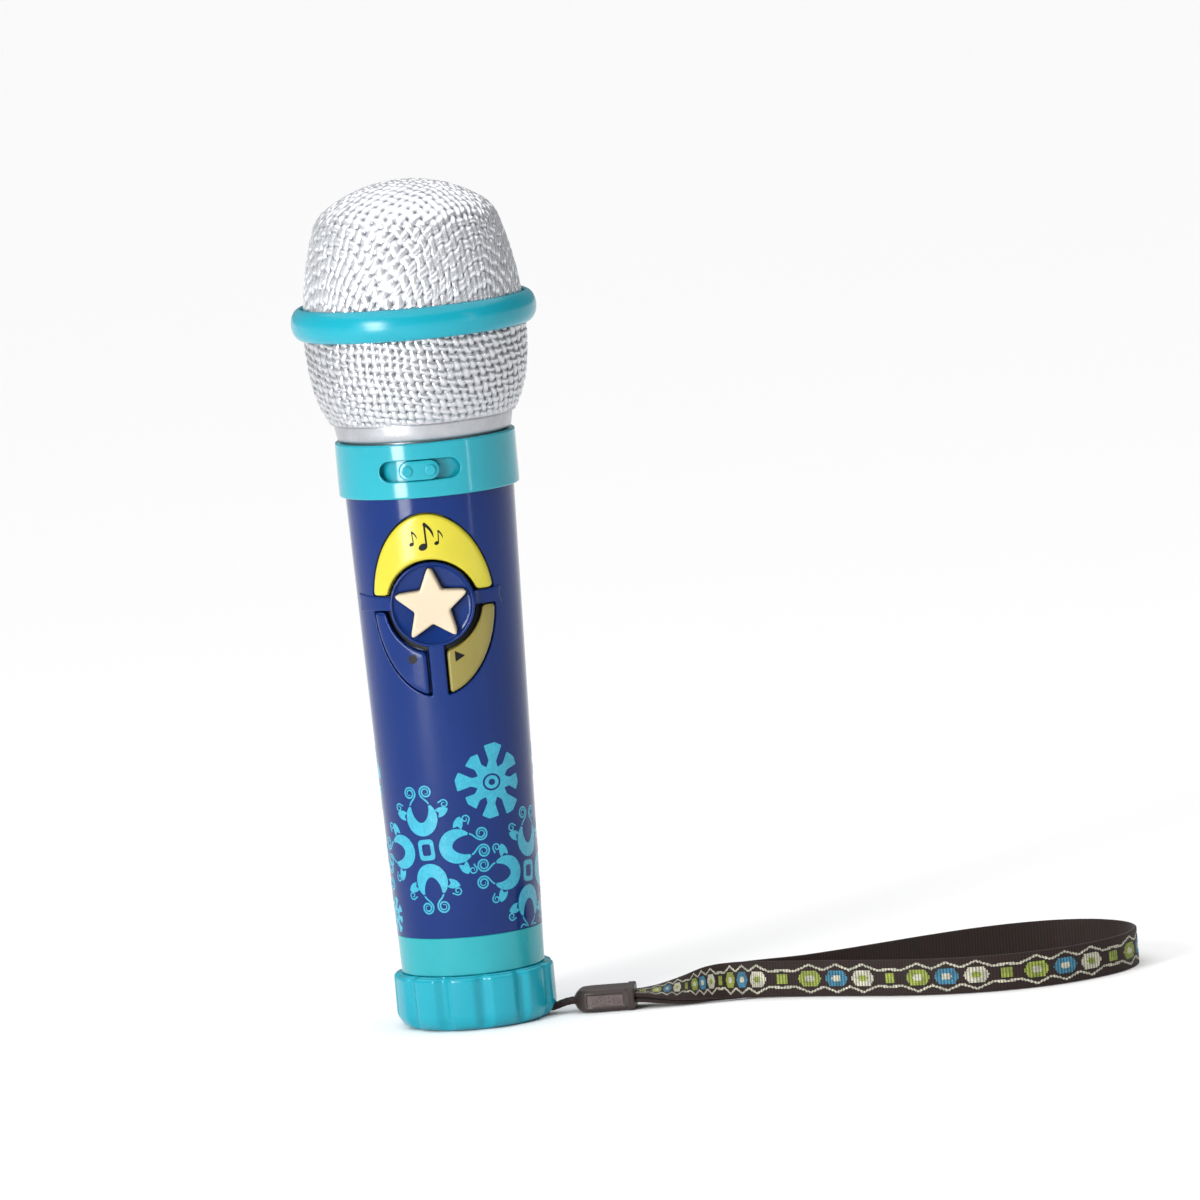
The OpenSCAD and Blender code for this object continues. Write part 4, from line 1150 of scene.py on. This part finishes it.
def screw_ridge(root_r, crest_r, z0, turn_start=0.0):
    """A thread's ridge, as a closed strip that winds up a neck."""
    turns = np.linspace(0, THREAD_TURNS, 90)
    angle = 2 * math.pi * turns + turn_start
    fade = np.clip(np.minimum(turns, THREAD_TURNS - turns) / 0.03, 0, 1)
    root = np.full(len(turns), root_r)
    crest = root_r + (crest_r - root_r) * (0.15 + 0.85 * fade)
    loop = [(root, -0.75), (crest, -0.42), (crest, 0.42), (root, 0.75)]
    z = z0 + THREAD_PITCH * turns
    rows = [np.stack([r * np.cos(angle), r * np.sin(angle), z + dz], -1) for r, dz in loop]
    return swept_loop(rows[::-1] if crest_r < root_r else rows)


def cut_away(part, cutter):
    """The first part less the second, by an exact boolean."""
    made = []
    for name, (points, faces) in (("solid", part), ("cutter", cutter)):
        points, faces, *_ = weld(points, faces, None)
        mesh = bpy.data.meshes.new(name)
        mesh.from_pydata(points.tolist(), [], faces)
        piece = bpy.data.objects.new(name, mesh)
        bpy.context.scene.collection.objects.link(piece)
        made.append(piece)
    modifier = made[0].modifiers.new("cut", "BOOLEAN")
    modifier.operation = "DIFFERENCE"
    modifier.solver = "EXACT"
    modifier.object = made[1]
    result = made[0].evaluated_get(bpy.context.evaluated_depsgraph_get()).to_mesh()
    left = np.array([v.co[:] for v in result.vertices])
    kept = [list(p.vertices) for p in result.polygons]
    for piece in made:
        bpy.data.objects.remove(piece)
    return left, kept


def make_cap():
    lip, top = RECESS_R - 0.5, CAP_H + 0.22
    profile = [(0, RECESS_H), (lip, RECESS_H), (RECESS_R - 0.15, RECESS_H - 0.15), (RECESS_R, RECESS_H - 0.5)]
    profile += [(RECESS_R, z) for z in (4.0, 2.6, 1.4, 0.5)]
    profile += [(RECESS_R + 0.12, 0.14), (RECESS_R + 0.45, 0.0)]
    profile += arc_points((CAP_R - 4.5, 4.5), 4.5, -90, 0, 14).tolist()
    profile += [(CAP_R, z) for z in np.linspace(5.2, CAP_H - 1.2, 9)]
    profile += arc_points((CAP_R - 1.1, CAP_H - 1.1), 1.1, 0, 90, 7).tolist()
    profile += [(20.7, CAP_H), (20.5, top), (CAP_BORE_R + 0.4, top), (CAP_BORE_R, CAP_H - 0.4)]
    profile += [(CAP_BORE_R, WEB_TOP + 0.3), (CAP_BORE_R - 0.3, WEB_TOP), (0, WEB_TOP)]
    notch_line = polygon(rectangle(-3.5, -2.0, 3.5, 3.4), 0.9, 0.3)
    notch, notch_faces = pillow(notch_line, level(-26.0), 0.05, level(-13.6), 1.0, steps=2)
    notch = np.stack([-notch[:, 1], notch[:, 0], notch[:, 2]], -1)
    cap = cut_away(turned(profile, FLUTES * 32, flute_cut), (notch, notch_faces))
    post_top = RECESS_H + 0.3
    post = turned([(0, 0.4), (POST_R - 0.3, 0.4), (POST_R, 0.7), (POST_R, post_top), (0, post_top)], 48)
    bar_line = polygon(rectangle(-2.2, 0.4, 2.2, 1.6), 0.3, 0.15)
    bar = pillow(bar_line, level(-RECESS_R - 0.3), 0.05, level(RECESS_R + 0.3), 1.0, steps=2)
    ridge = screw_ridge(CAP_BORE_R + 0.2, 17.1, NECK_THREAD_Z + THREAD_PITCH * (0.2 - 0.5), math.radians(72))
    make_piece("end_cap_fluted", merge(cap, post, bar, ridge), "cap", "teal_plastic", "end_cap", angle=42)


def make_tail():
    band, top = handle_r(TAIL_Z) - 0.05, handle_r(BODY_Z0) - 0.05
    soft, edge, plug_soft = 0.3, 0.22, 0.4
    profile = [
        (NECK_BORE_R, NECK_Z0), (NECK_R - soft, NECK_Z0), (NECK_R, NECK_Z0 + soft), (NECK_R, TAIL_Z),
        (band - soft, TAIL_Z), (band, TAIL_Z + soft), ((band + top) / 2, 20.6),
        (top, BODY_Z0 - edge), (top - edge, BODY_Z0), (NECK_PLUG_R, BODY_Z0),
        (NECK_PLUG_R, NECK_Z1 - plug_soft), (NECK_PLUG_R - plug_soft, NECK_Z1),
        (NECK_BORE_R, NECK_Z1), (NECK_BORE_R, 20.0), (NECK_BORE_R, NECK_Z0),
    ]
    part = merge(turned(profile, 192), screw_ridge(NECK_R - 0.2, 17.7, NECK_THREAD_Z))
    make_piece("tail_ring_band", part, "handle", "pale_teal_plastic", "tail_ring")


# ---- Head ----

def crossing(c1, r1, c2, r2):
    """The higher crossing of two circles."""
    c1, c2 = np.asarray(c1, float), np.asarray(c2, float)
    gap = np.linalg.norm(c2 - c1)
    a = (r1 ** 2 - r2 ** 2 + gap ** 2) / (2 * gap)
    h = math.sqrt(r1 ** 2 - a ** 2)
    ahead = (c2 - c1) / gap
    across = np.array([-ahead[1], ahead[0]])
    return max(c1 + a * ahead + h * across, c1 + a * ahead - h * across, key=lambda p: p[1])


def dome_profile(inset):
    side, crown = (DOME_X0 - DOME_SIDE_R, DOME_SIDE_Z), (0.0, TOP_Z - DOME_CROWN_R)
    shoulder = crossing(side, DOME_SIDE_R - DOME_SHOULDER_R, crown, DOME_CROWN_R - DOME_SHOULDER_R)
    low = math.degrees(math.asin((RING_Z - DOME_SIDE_Z) / (DOME_SIDE_R - inset)))
    a = math.degrees(math.atan2(shoulder[1] - side[1], shoulder[0] - side[0]))
    b = math.degrees(math.atan2(shoulder[1] - crown[1], shoulder[0] - crown[0]))
    return np.vstack([
        arc_points(side, DOME_SIDE_R - inset, low, a, 40)[:-1],
        arc_points(shoulder, DOME_SHOULDER_R - inset, a, b, 40)[:-1],
        arc_points(crown, DOME_CROWN_R - inset, b, 90, 40),
    ])


def bowl_profile(inset):
    z = BOWL_WEAVE_Z + (RING_Z - BOWL_WEAVE_Z) * np.linspace(0, 1, 90) ** 1.6
    t = (RING_Z - z) / BOWL_B
    return np.stack([BOWL_A * (1 - t ** BOWL_M) ** (1 / BOWL_N) - inset, z], -1)


def weave(u, v, seed, wrap):
    """Height from 0 to 1 of a plain weave with one strand to each unit of u and v, every cell a little
    different. The differences repeat after wrap cells of u."""
    draw = np.random.RandomState(seed)
    size = 128
    swell = draw.uniform(0.55, 1.0, (size, size))
    fat = draw.uniform(0.84, 1.14, (size, size))
    i, j = np.floor(u).astype(int), np.floor(v).astype(int)
    x, y = u - i - 0.5, v - j - 0.5
    over = np.where((i + j) % 2 == 0, 1.0, -1.0)
    amount = swell[i % wrap, j % size]
    width = 0.43 * fat[i % wrap, j % size]

    def strand(aside, ahead, side):
        """Height of one strand: round across, and high where it passes over its neighbour."""
        across = np.sqrt(np.clip(1 - (aside / width) ** 2, 0, 1))
        lift = 0.5 + 0.5 * side * amount * np.cos(math.pi * ahead) ** 0.7
        return across * (0.30 + 0.70 * lift)

    return np.clip(np.maximum(strand(x, y, over), strand(y, x, -over)), 0, 1)


def woven_rows(line, columns, lattice, fade, seed, wrap=128):
    """Rows of points over a turned profile with the weave pressed into it, and each point's weave height."""
    tangent = unit(np.gradient(line, axis=0))
    outward = np.stack([tangent[:, 1], -tangent[:, 0]], -1)
    outward[-1] = outward[-1] if line[-1, 0] > 1e-6 else np.array([0.0, 1.0])
    angle = np.linspace(0, 2 * math.pi, columns, endpoint=False)
    height = weave(*lattice(angle[None, :], distances_along(line)[:, None]), seed, wrap)
    press = WEAVE_DEPTH * (1 - height) * fade[:, None]
    radius = line[:, :1] - press * outward[:, :1]
    z = line[:, 1:] - press * outward[:, 1:]
    return list(np.stack([radius * np.cos(angle), radius * np.sin(angle), z + 0 * angle], -1)), height


def woven_piece(name, rows, heights, extra, node, finish=None):
    """A closed woven shell; heights is one row of weave heights for each row of points."""
    part = merge(strips(rows), *extra)
    relief = np.full(len(part[0]), PLAIN_RELIEF)
    heights = np.concatenate(heights)
    relief[:len(heights)] = heights
    make_piece(name, part, "handle", "silver_finish", node, finish, angle=60, relief=relief)


def plain_rows(profile, columns):
    return list(turned(profile, columns)[0].reshape(len(profile), columns, 3))


def make_dome():
    line, columns = resample(dome_profile(0.0), DOME_STEP), 576
    total = distances_along(line)[-1]

    def lattice(angle, along):
        """The weave lies on the dome as a flat cloth would, pulled in toward its rim."""
        left = total - along
        flat = left * (1 - 0.27 * left / total)
        swirl = angle + 0.10 * np.sin(2 * angle + 0.6) + 0.0055 * left
        x, y = flat * np.cos(swirl), flat * np.sin(swirl)
        x = x + 0.55 * np.sin(0.31 * y + 0.8) + 0.25 * np.sin(0.83 * y + 0.29 * x)
        y = y + 0.55 * np.sin(0.27 * x + 2.1) + 0.25 * np.sin(0.71 * x - 0.35 * y + 1.0)
        turn = math.radians(33)
        x, y = x * math.cos(turn) - y * math.sin(turn), x * math.sin(turn) + y * math.cos(turn)
        return x / DOME_PITCH, y / DOME_PITCH

    rows, height = woven_rows(line, columns, lattice, np.ones(len(line)), 11)
    inner = plain_rows(resample(dome_profile(GRILLE_WALL), 5.0)[::-1], columns)
    heights = list(height) + [np.full(columns, PLAIN_RELIEF)] * len(inner) + [height[0]]
    peg = turned([(4.5, 225), (5.4, 225), (5.6, 225.2), (5.6, 231.4), (4.5, 231.4), (4.5, 225)], 48)
    woven_piece("grille_dome_woven", rows + inner + rows[:1], heights, [peg], "grille_dome")


def make_bowl():
    line, columns = resample(bowl_profile(0.0), BOWL_STEP), BOWL_STRANDS * 9

    def lattice(angle, along):
        """Level and upright strands that wander a little, and lean and climb by turns round the bowl."""
        lean = (0.2 + 0.2 * np.sin(2 * angle + 2.97)) * along
        wander = 0.30 * np.sin(3 * angle + 0.45 * along) + 0.20 * np.sin(7 * angle - 0.8 * along + 1.0)
        climb = 5.0 * np.sin(angle + 2.27) + 0.32 * np.sin(5 * angle + 0.4)
        rise = climb + 0.25 * np.sin(11 * angle + 0.6 * along)
        u = angle * BOWL_STRANDS / (2 * math.pi) + (lean + wander) / BOWL_PITCH + 200
        return u, (along + rise) / BOWL_PITCH_Z + 50

    fade = np.clip((line[:, 1] - BOWL_WEAVE_Z) / 1.2, 0, 1) ** 0.7
    rows, height = woven_rows(line, columns, lattice, fade, 23, BOWL_STRANDS)
    height = height * fade[:, None] + PLAIN_RELIEF * (1 - fade[:, None])
    soft, floor = 0.3, (BOWL_BORE_R, 165.0)
    low = [floor, (BOWL_BORE_R, BOWL_PLUG_Z), (BOWL_PLUG_R - soft, BOWL_PLUG_Z),
           (BOWL_PLUG_R, BOWL_PLUG_Z + soft), (BOWL_PLUG_R, BOWL_Z0), (23.5, BOWL_Z0),
           (23.9, BOWL_Z0 + 0.35), (24.25, 165.6), (24.55, 167.3), (24.6, 167.7), (24.5, 167.95)]
    high = np.vstack([resample(bowl_profile(GRILLE_WALL), 4.0)[::-1], [(21.8, 166.4), floor]])
    heights = [np.full(columns, PLAIN_RELIEF)] * len(low) + list(height)
    rows = plain_rows(low, columns) + rows + plain_rows(high, columns)
    bore, z0, z1 = 0.9, 180, 195.7
    seam = (bore, 186)
    boss = turned([seam, (bore, z0), (BRACKET_BOSS_R, z0), (BRACKET_BOSS_R, z1), (bore, z1), seam], 32)
    bosses = []
    for turn in np.radians((30, 150, 270)):
        bosses.append(moved(boss, BRACKET_BOSS_AT * math.cos(turn), BRACKET_BOSS_AT * math.sin(turn)))
    # The bowl gets a darker copy of the silver, level 0.75: painted shade
    woven_piece("grille_bowl_woven", rows, heights, bosses, "grille_bowl", silver_paint("silver_bowl", 0.75))


def make_ring():
    half = RING_H / 2
    profile = [(30.9, half - 0.8), (30.9, -half + 0.8), (31.0, -half + 0.3), (31.3, -half)]
    belly = np.radians(np.linspace(-82, 82, 30))
    profile += [(RING_R - 2.9 + 2.9 * math.cos(t), half * math.sin(t)) for t in belly]
    profile += [(31.3, half), (31.0, half - 0.3), (30.9, half - 0.8)]
    ring = turned([(r, z + RING_Z) for r, z in profile], 256)
    make_piece("head_ring_bumper", ring, "handle", "teal_plastic", "head_ring")


# ---- Strap ----

def curve_through(route, steps):
    """The Catmull-Rom curve through a route, as part.scad draws it."""
    route = np.asarray(route, float)
    line = []
    for i in range(len(route) - 1):
        a, b, c = route[max(i - 1, 0)], route[i], route[i + 1]
        d = route[min(i + 2, len(route) - 1)]
        for t in np.arange(steps) / steps:
            line.append(0.5 * (2 * b + (c - a) * t + (2 * a - 5 * b + 4 * c - d) * t ** 2
                               + (3 * b - a - 3 * c + d) * t ** 3))
    line.append(route[-1])
    return np.array(line)


def frames(line, lean=0.0):
    """Across and outward directions at each point of a path; lean turns the outward one from straight up."""
    tangent = unit(np.gradient(line, axis=0))
    side = unit(np.cross(tangent, UP))
    up = np.cross(side, tangent)
    turn = np.radians(np.broadcast_to(lean, len(line)))[:, None]
    face = np.cos(turn) * up + np.sin(turn) * side
    return np.cross(tangent, face), face


def strap_cord(piece, fine, spacing, leaves_at, diameter, stiffness, **more):
    """Works out a finished strap piece's length and its path in metres, and does nothing more with them."""
    fine = fine[:, :3]
    length = float(distances_along(fine)[-1])
    path = resample(fine, spacing) * MM


def band_pattern(along, across):
    """Which thread shows at a place on the band's outer face: 0 ground, 1 lime, 2 blue, 3 cream."""
    cell = along % BAND_REPEAT
    kind = np.floor(cell / (BAND_REPEAT / 4)).astype(int)
    x = np.abs(cell % (BAND_REPEAT / 4) - BAND_REPEAT / 8)
    w = np.abs(across)
    shown = np.zeros(along.shape, int)
    hexagon = (kind > 0) & (w < np.minimum(2.3, (3.55 - x) * 1.6))
    shown[hexagon] = kind[hexagon]
    heart = (kind > 0) & (w < 0.85) & (x < 1.5 - 0.6 * w)
    shown[heart] = np.where(kind == 3, 1, 3)[heart]
    shown[(kind == 0) & (x < 1.5) & (w < 1.25)] = 1
    swell = 1 - x / (BAND_REPEAT / 8)
    edge = np.where(kind == 0, 1.95 + 0.1 * swell, 2.0 + 1.55 * swell)
    shown[(w > edge) & (w < edge + 0.58)] = 3
    return shown


def make_webbing():
    threads = [finish_of["woven_band"]]
    for colour, rgb in {"lime": (158, 172, 78), "blue": (72, 138, 168), "cream": (214, 211, 190)}.items():
        threads.append(thread("thread_" + colour, srgb(*rgb), True))
    fine = curve_through(BAND_ROUTE, 24)
    half_stitch, columns = 0.45, 36
    line = resample(fine, half_stitch)
    centre, count = line[:, :3], len(line)
    across, outward = frames(centre, line[:, 3])
    half_w, half_t = BAND_W / 2, BAND_T / 2
    w = np.linspace(-half_w + 0.12, half_w - 0.12, columns + 1)
    row, column = np.arange(count)[:, None], np.arange(columns + 1)[None, :]
    cell = np.abs((column + row // 2 % 2) % 4 - 2) / 2
    relief = row % 2 * (0.55 + 0.25 * (column % 2) + 0.2 * cell)
    outer = half_t - BAND_RIB + BAND_RIB * relief
    selvedge = np.zeros((count, 1))
    w_loop = np.concatenate([w, [half_w], w[::-2], [-half_w]])
    f_loop = np.concatenate([outer, selvedge, -outer[:, ::-2], selvedge], axis=1)
    points = centre[:, None] + w_loop[:, None] * across[:, None] + f_loop[..., None] * outward[:, None]
    # The weave heights also set the woven threads' painted shade between the ribs
    heights = np.concatenate([relief, selvedge + 0.5, relief[:, ::-2], selvedge + 0.5], axis=1).ravel()
    picks = np.zeros((count - 1, len(w_loop)), int)
    along, middle = np.arange(count - 1) * half_stitch, 0.5 * (w[1:] + w[:-1])
    picks[:, :columns] = band_pattern(*np.meshgrid(along, middle, indexing="ij"))
    band = make_piece("strap_webbing_woven", tube(list(points)), "cap", "woven_band", "strap_webbing",
                      threads, angle=80, picks=np.append(picks, [0, 0]), relief=heights)
    strap_cord(band, fine, 4.0, (0.044, 0.0, 0.004), BAND_W, "medium")


def make_string(ferrule):
    fine, step = curve_through(STRING_ROUTE, 16), 0.16
    line = resample(fine, step)
    across, outward = frames(line)
    angle = np.linspace(0, 2 * math.pi, 32, endpoint=False)
    twist = 2 * math.pi * np.arange(len(line))[:, None] * step / BRAID_PITCH
    strands = np.cos(4 * angle + twist) * np.cos(4 * angle - twist)
    radius = (STRING_D / 2 - BRAID_DEPTH + BRAID_DEPTH * (0.5 + 0.5 * strands))[..., None]
    ring = np.cos(angle)[:, None] * across[:, None] + np.sin(angle)[:, None] * outward[:, None]
    points, faces = tube(list(line[:, None] + radius * ring))
    braid = (points, flipped(faces))
    string = make_piece("strap_cord_braided", braid, "cap", "brown_string", "strap_cord", angle=80)
    strap_cord(string, fine, 1.0, (0.022, -0.0016, 0.0022), STRING_D, "limp", with_pieces=[ferrule])


def rounded_box_line(half_y, half_z, corner):
    """A rounded rectangle's outline, always with the same number of points from the same start."""
    corner = min(corner, half_y * 0.98, half_z * 0.98)
    line = []
    for k, (y, z) in enumerate([(1, -1), (1, 1), (-1, 1), (-1, -1)]):
        centre = (y * (half_y - corner), z * (half_z - corner))
        line.append(arc_points(centre, corner, -90 + 90 * k, 90 * k, 8))
    return even_points(np.vstack(line + [line[0][:1]]), 160, False)


def make_ferrule():
    """Moulded block with a rounded nose, a lip at the band's end and a sunk grained panel on each flank."""
    nose, soft, step, panel_x0, panel_x1 = FERRULE_X0 + FERRULE_HALF_W, 0.4, 0.2, 30.6, 41.2
    x = np.concatenate([
        nose - FERRULE_HALF_W * np.cos(np.linspace(0.12, math.pi / 2, 26)),
        np.arange(nose + step, FERRULE_X1 - soft, step),
        FERRULE_X1 - soft * (1 - np.sin(np.linspace(0, math.pi / 2, 5))),
    ])
    rows, sunk = [], []
    for at in x:
        waist = 0.0 if at > FERRULE_X1 - 2 else 0.22
        rounding = max(0.0, 1 + (at - FERRULE_X1) / soft)
        inset = waist + soft * (1 - math.sqrt(max(0.0, 1 - rounding ** 2)))
        plan = math.sqrt(max(FERRULE_HALF_W ** 2 - max(nose - at, 0.0) ** 2, 0.2)) - inset
        tall = FERRULE_HALF_H - 2.0 * max(0.0, 1 - (at - FERRULE_X0) / 2.6) ** 2 - inset
        y, z = rounded_box_line(max(plan, 0.4), max(tall, 0.4), 1.5).T
        in_x = np.clip(min(at - panel_x0, panel_x1 - at) / 0.35, 0, 1)
        in_z = np.clip((1.95 - np.abs(z)) / 0.35, 0, 1)
        sink = 0.32 * in_x * in_z * (np.abs(y) > plan - 0.05)
        rows.append(np.stack([np.full(len(y), at), y - np.sign(y) * sink, z + FERRULE_HALF_H], -1))
        sunk.append(sink > 0.3)
    sunk = np.array(sunk)
    sunk &= np.roll(sunk, -1, 1)
    picks = np.append((sunk[:-1] & sunk[1:]).astype(int), [0, 0])
    return make_piece("strap_ferrule_block", tube(rows), "cap", "brown_plastic", "strap_ferrule",
                      [finish_of["brown_plastic"], brown_grain("ferrule_panel")], angle=50, picks=picks)


# ---- Print ----

def decal(outline, holes, surface, rise, spacing=1.1, sink=0.06):
    """A thin closed patch of ink: surface(flat, rise) gives its points."""
    outline = anticlockwise(outline)
    holes = [anticlockwise(hole) for hole in holes]
    flat, face = fill(outline, holes, spacing, 0.3)
    parts = [(surface(flat, rise), face), (surface(flat, -sink), flipped(face))]
    for ring, inside in [(outline, False)] + [(hole, True) for hole in holes]:
        points, faces = strips([surface(ring, -sink), surface(ring, rise)])
        parts.append((points, flipped(faces) if inside else faces))
    return merge(*parts)


def ribbon(line, width, tip=0.35):
    """Outline of a stroke along a line. width is one number or one for each point, and narrows to a share of
    itself, tip, at the end."""
    line = np.asarray(line, float)
    tangent = unit(np.gradient(line, axis=0))
    across = np.stack([-tangent[:, 1], tangent[:, 0]], -1)
    share = np.linspace(0, 1, len(line))
    half = 0.5 * np.asarray(width) * (1 - (1 - tip) * np.clip((share - 0.8) / 0.2, 0, 1))
    return np.vstack([line + across * half[:, None], (line - across * half[:, None])[::-1]])


def curl(start, heading, reach, coil, turns, hand):
    """A tendril: a stem that bends a little one way, then winds up the other way into a spiral."""
    step = 0.1
    stem = int(reach / step)
    swing = 2 * math.pi * turns
    way = [heading - hand * 0.45 * math.sin(math.pi * k / stem) for k in range(stem)]
    wound = 0.0
    while wound < swing:
        wound += step / (coil * (1 - 0.72 * wound / swing))
        way.append(heading + hand * wound)
    line = np.cumsum(np.stack([np.cos(way), np.sin(way)], -1) * step, axis=0)
    return np.vstack([[(0, 0)], line]) + np.asarray(start, float)


def crescent():
    """A horseshoe leaf that opens outward, thick at its back and drawn out at both horns."""
    t = np.linspace(-1, 1, 41)
    bend = np.radians(-90 + 122 * t)
    line = np.stack([3.3 * np.cos(bend), 4.0 * np.sin(bend)], -1)
    return ribbon(line, 0.6 + 2.9 * (1 - np.abs(t) ** 2.6), 1.0) + np.array([0, 9.4])


def leaf(centre, heading, long, wide):
    """A pointed leaf with a notched base."""
    t = np.linspace(0, 1, 15)[1:]
    side = np.stack([long * (t - 0.5), wide / 2 * np.cos(math.pi / 2 * t) ** 0.8 * (0.75 + 0.9 * t)], -1)
    outline = np.vstack([side, side[::-1][1:] * np.array([1, -1]), [[-long * 0.22, 0]]])
    return turned_flat(outline, math.degrees(heading)) + np.asarray(centre)


def wreath(tilt):
    """Patches of one wreath: a square ring, four horseshoe leaves with curled tendrils, and small leaves."""
    ring = polygon(rectangle(-2.4, -2.9, 2.4, 2.9), 1.3, 0.3)
    patches = [(turned_flat(ring, tilt), [turned_flat(ring * 0.55, tilt)])]
    for k in range(4):
        motif = [crescent()]
        for side in (-1, 1):
            mirrored = np.array([side, 1.0])
            motif.append(ribbon(curl((2.75, 11.9), 1.95, 3.2, 1.7, 1.9, -1), 0.42) * mirrored)
            motif.append(leaf((5.9, 9.6), 0.35, 3.6, 2.6) * mirrored)
            motif.append(ribbon(curl((5.2, 12.0), 0.1, 1.5, 1.05, 1.15, -1), 0.36) * mirrored)
        patches += [(turned_flat(outline * 1.06, tilt + 90 * k), []) for outline in motif]
    return patches


def flower(size, tilt):
    """Patches of one flower: eight blunt petals round a ringed eye."""
    lengths = (1.05, 0.90, 1.0, 0.86, 0.97, 1.04, 0.88, 0.95)
    petal = ((0.42, -22.5), (0.56, -11.5), (0.95, -16), (1.0, -3), (0.95, 14.5), (0.58, 10.5))
    corners = []
    for k, longer in enumerate(lengths):
        for radius, turn in petal:
            angle = math.radians(tilt + 45 * k + turn)
            reach = size * radius * (longer if radius > 0.6 else 1.0)
            corners.append((reach * math.cos(angle), reach * math.sin(angle)))
    eye = circle(1.0, 40) * np.array([1.0, 0.88]) * size / 10
    return [(polygon(corners, 0.28, 0.25), [eye * 2.6]), (eye * 2.0, [eye * 0.95])]


def spaced(outline, least=0.02):
    """An outline without the points that all but coincide with the one before."""
    return outline[np.linalg.norm(outline - np.roll(outline, 1, 0), axis=1) > least]


def above(outline, limit):
    """The parts of an outline above a limit, each a closed outline."""
    high = outline[:, 1] > limit
    if high.all():
        return [outline]
    outline, high = np.roll(outline, -np.argmin(high), 0), np.roll(high, -np.argmin(high))
    runs = []
    for k in np.flatnonzero(high & ~np.roll(high, 1)):
        end = k + np.argmin(np.append(high[k:], False))
        ends = []
        crossed = ((outline[k - 1], outline[k]), (outline[end % len(outline)], outline[end - 1]))
        for low_point, high_point in crossed:
            share = (limit - low_point[1]) / (high_point[1] - low_point[1])
            ends.append(low_point + share * (high_point - low_point))
        runs.append(np.vstack([ends[0], outline[k:end], ends[1]]))
    places = sorted((run[at][0], k) for k, run in enumerate(runs) for at in (0, -1))
    partner = {}
    for (x, k), (beside, other) in zip(places[::2], places[1::2]):
        partner[x], partner[beside] = other, k
    loops, left = [], set(range(len(runs)))
    while left:
        k = min(left)
        loop = []
        while k in left:
            left.remove(k)
            loop.append(runs[k])
            k = partner[runs[k][-1][0]]
        loops.append(np.vstack(loop))
    return [spaced(loop) for loop in loops if abs(signed_area(loop)) > 0.3]


def make_print():
    places = [(turn, z, wreath(tilt)) for turn, z, tilt in WREATHS]
    places += [(turn, z, flower(size, tilt)) for turn, z, size, tilt in FLOWERS]
    made = []
    for turn, z, patches in places:
        middle = np.array([math.radians(turn) * PRINT_R, z])

        def surface(flat, rise):
            return from_sheet(flat + middle, rise, True, PRINT_R)

        for outline, holes in patches:
            for patch in above(outline, PRINT_Z0 - z):
                made.append(decal(patch, holes, surface, 0.035 + 0.004 * (len(made) % 4)))
    make_piece("body_print", merge(*made), "handle", "turquoise_plastic",
               finish=ink("print_ink", srgb(44, 158, 184)), angle=60)


def note(size, lean):
    """Outlines of an eighth note that stands on its head's middle."""
    head = turned_flat(circle(1.0, 32) * np.array([1.22, 0.9]), 22)
    stem = polygon(rectangle(0.7, 0.2, 1.2, 6.4), 0.1, 0.12)
    bend = np.linspace(0, 1, 16)
    flag = np.stack([0.85 + 2.2 * np.sin(bend * 1.45) ** 1.4, 6.1 - 1.3 * bend - 2.5 * bend ** 2], -1)
    return [turned_flat(shape * size, lean) for shape in (head, stem, ribbon(flag, 1.0 - 0.6 * bend, 0.4))]


def make_symbol(name, button, shapes):
    """Thin raised ink on one button; overlapping shapes get a little more rise in turn."""
    patches = []
    for k, shape in enumerate(shapes):
        patches.append(decal(shape, [], lambda flat, rise: on_taper(flat, BUTTON_RISE + rise),
                             0.03 + 0.004 * (k % 3), 0.7))
    make_piece(name, merge(*patches), button, "black_plastic", angle=60)


def make_symbols():
    notes = [shape + np.array([x, z]) for x, z, size, lean in NOTES for shape in note(size, lean)]
    make_symbol("music_symbols", "music_button", notes)
    make_symbol("record_symbol", "record_button", [circle(1.25, 48) + np.array([-6.7, -14.6])])
    play = polygon([(5.0, -16.1), (7.7, -14.6), (5.0, -13.1)], 0.25, 0.2)
    make_symbol("play_symbol", "play_button", [play])


make_camera()
make_studio()
make_floor()
finish_of = make_materials()

make_string(make_ferrule())
make_webbing()
make_cap()
make_tail()
make_front_shell()
make_rear_shell()
make_buttons()
make_symbols()
make_trench_shade_liner()
make_print()
make_collar()
make_knob()
make_bowl()
make_dome()
make_ring()

for part in frame["record"]["subparts"]:
    held = frame["nodes"][part["node"]]
    if held.hide_render:
        continue
    held.data.materials.clear()
    held.data.materials.append(finish_of[part["material_slot"]])
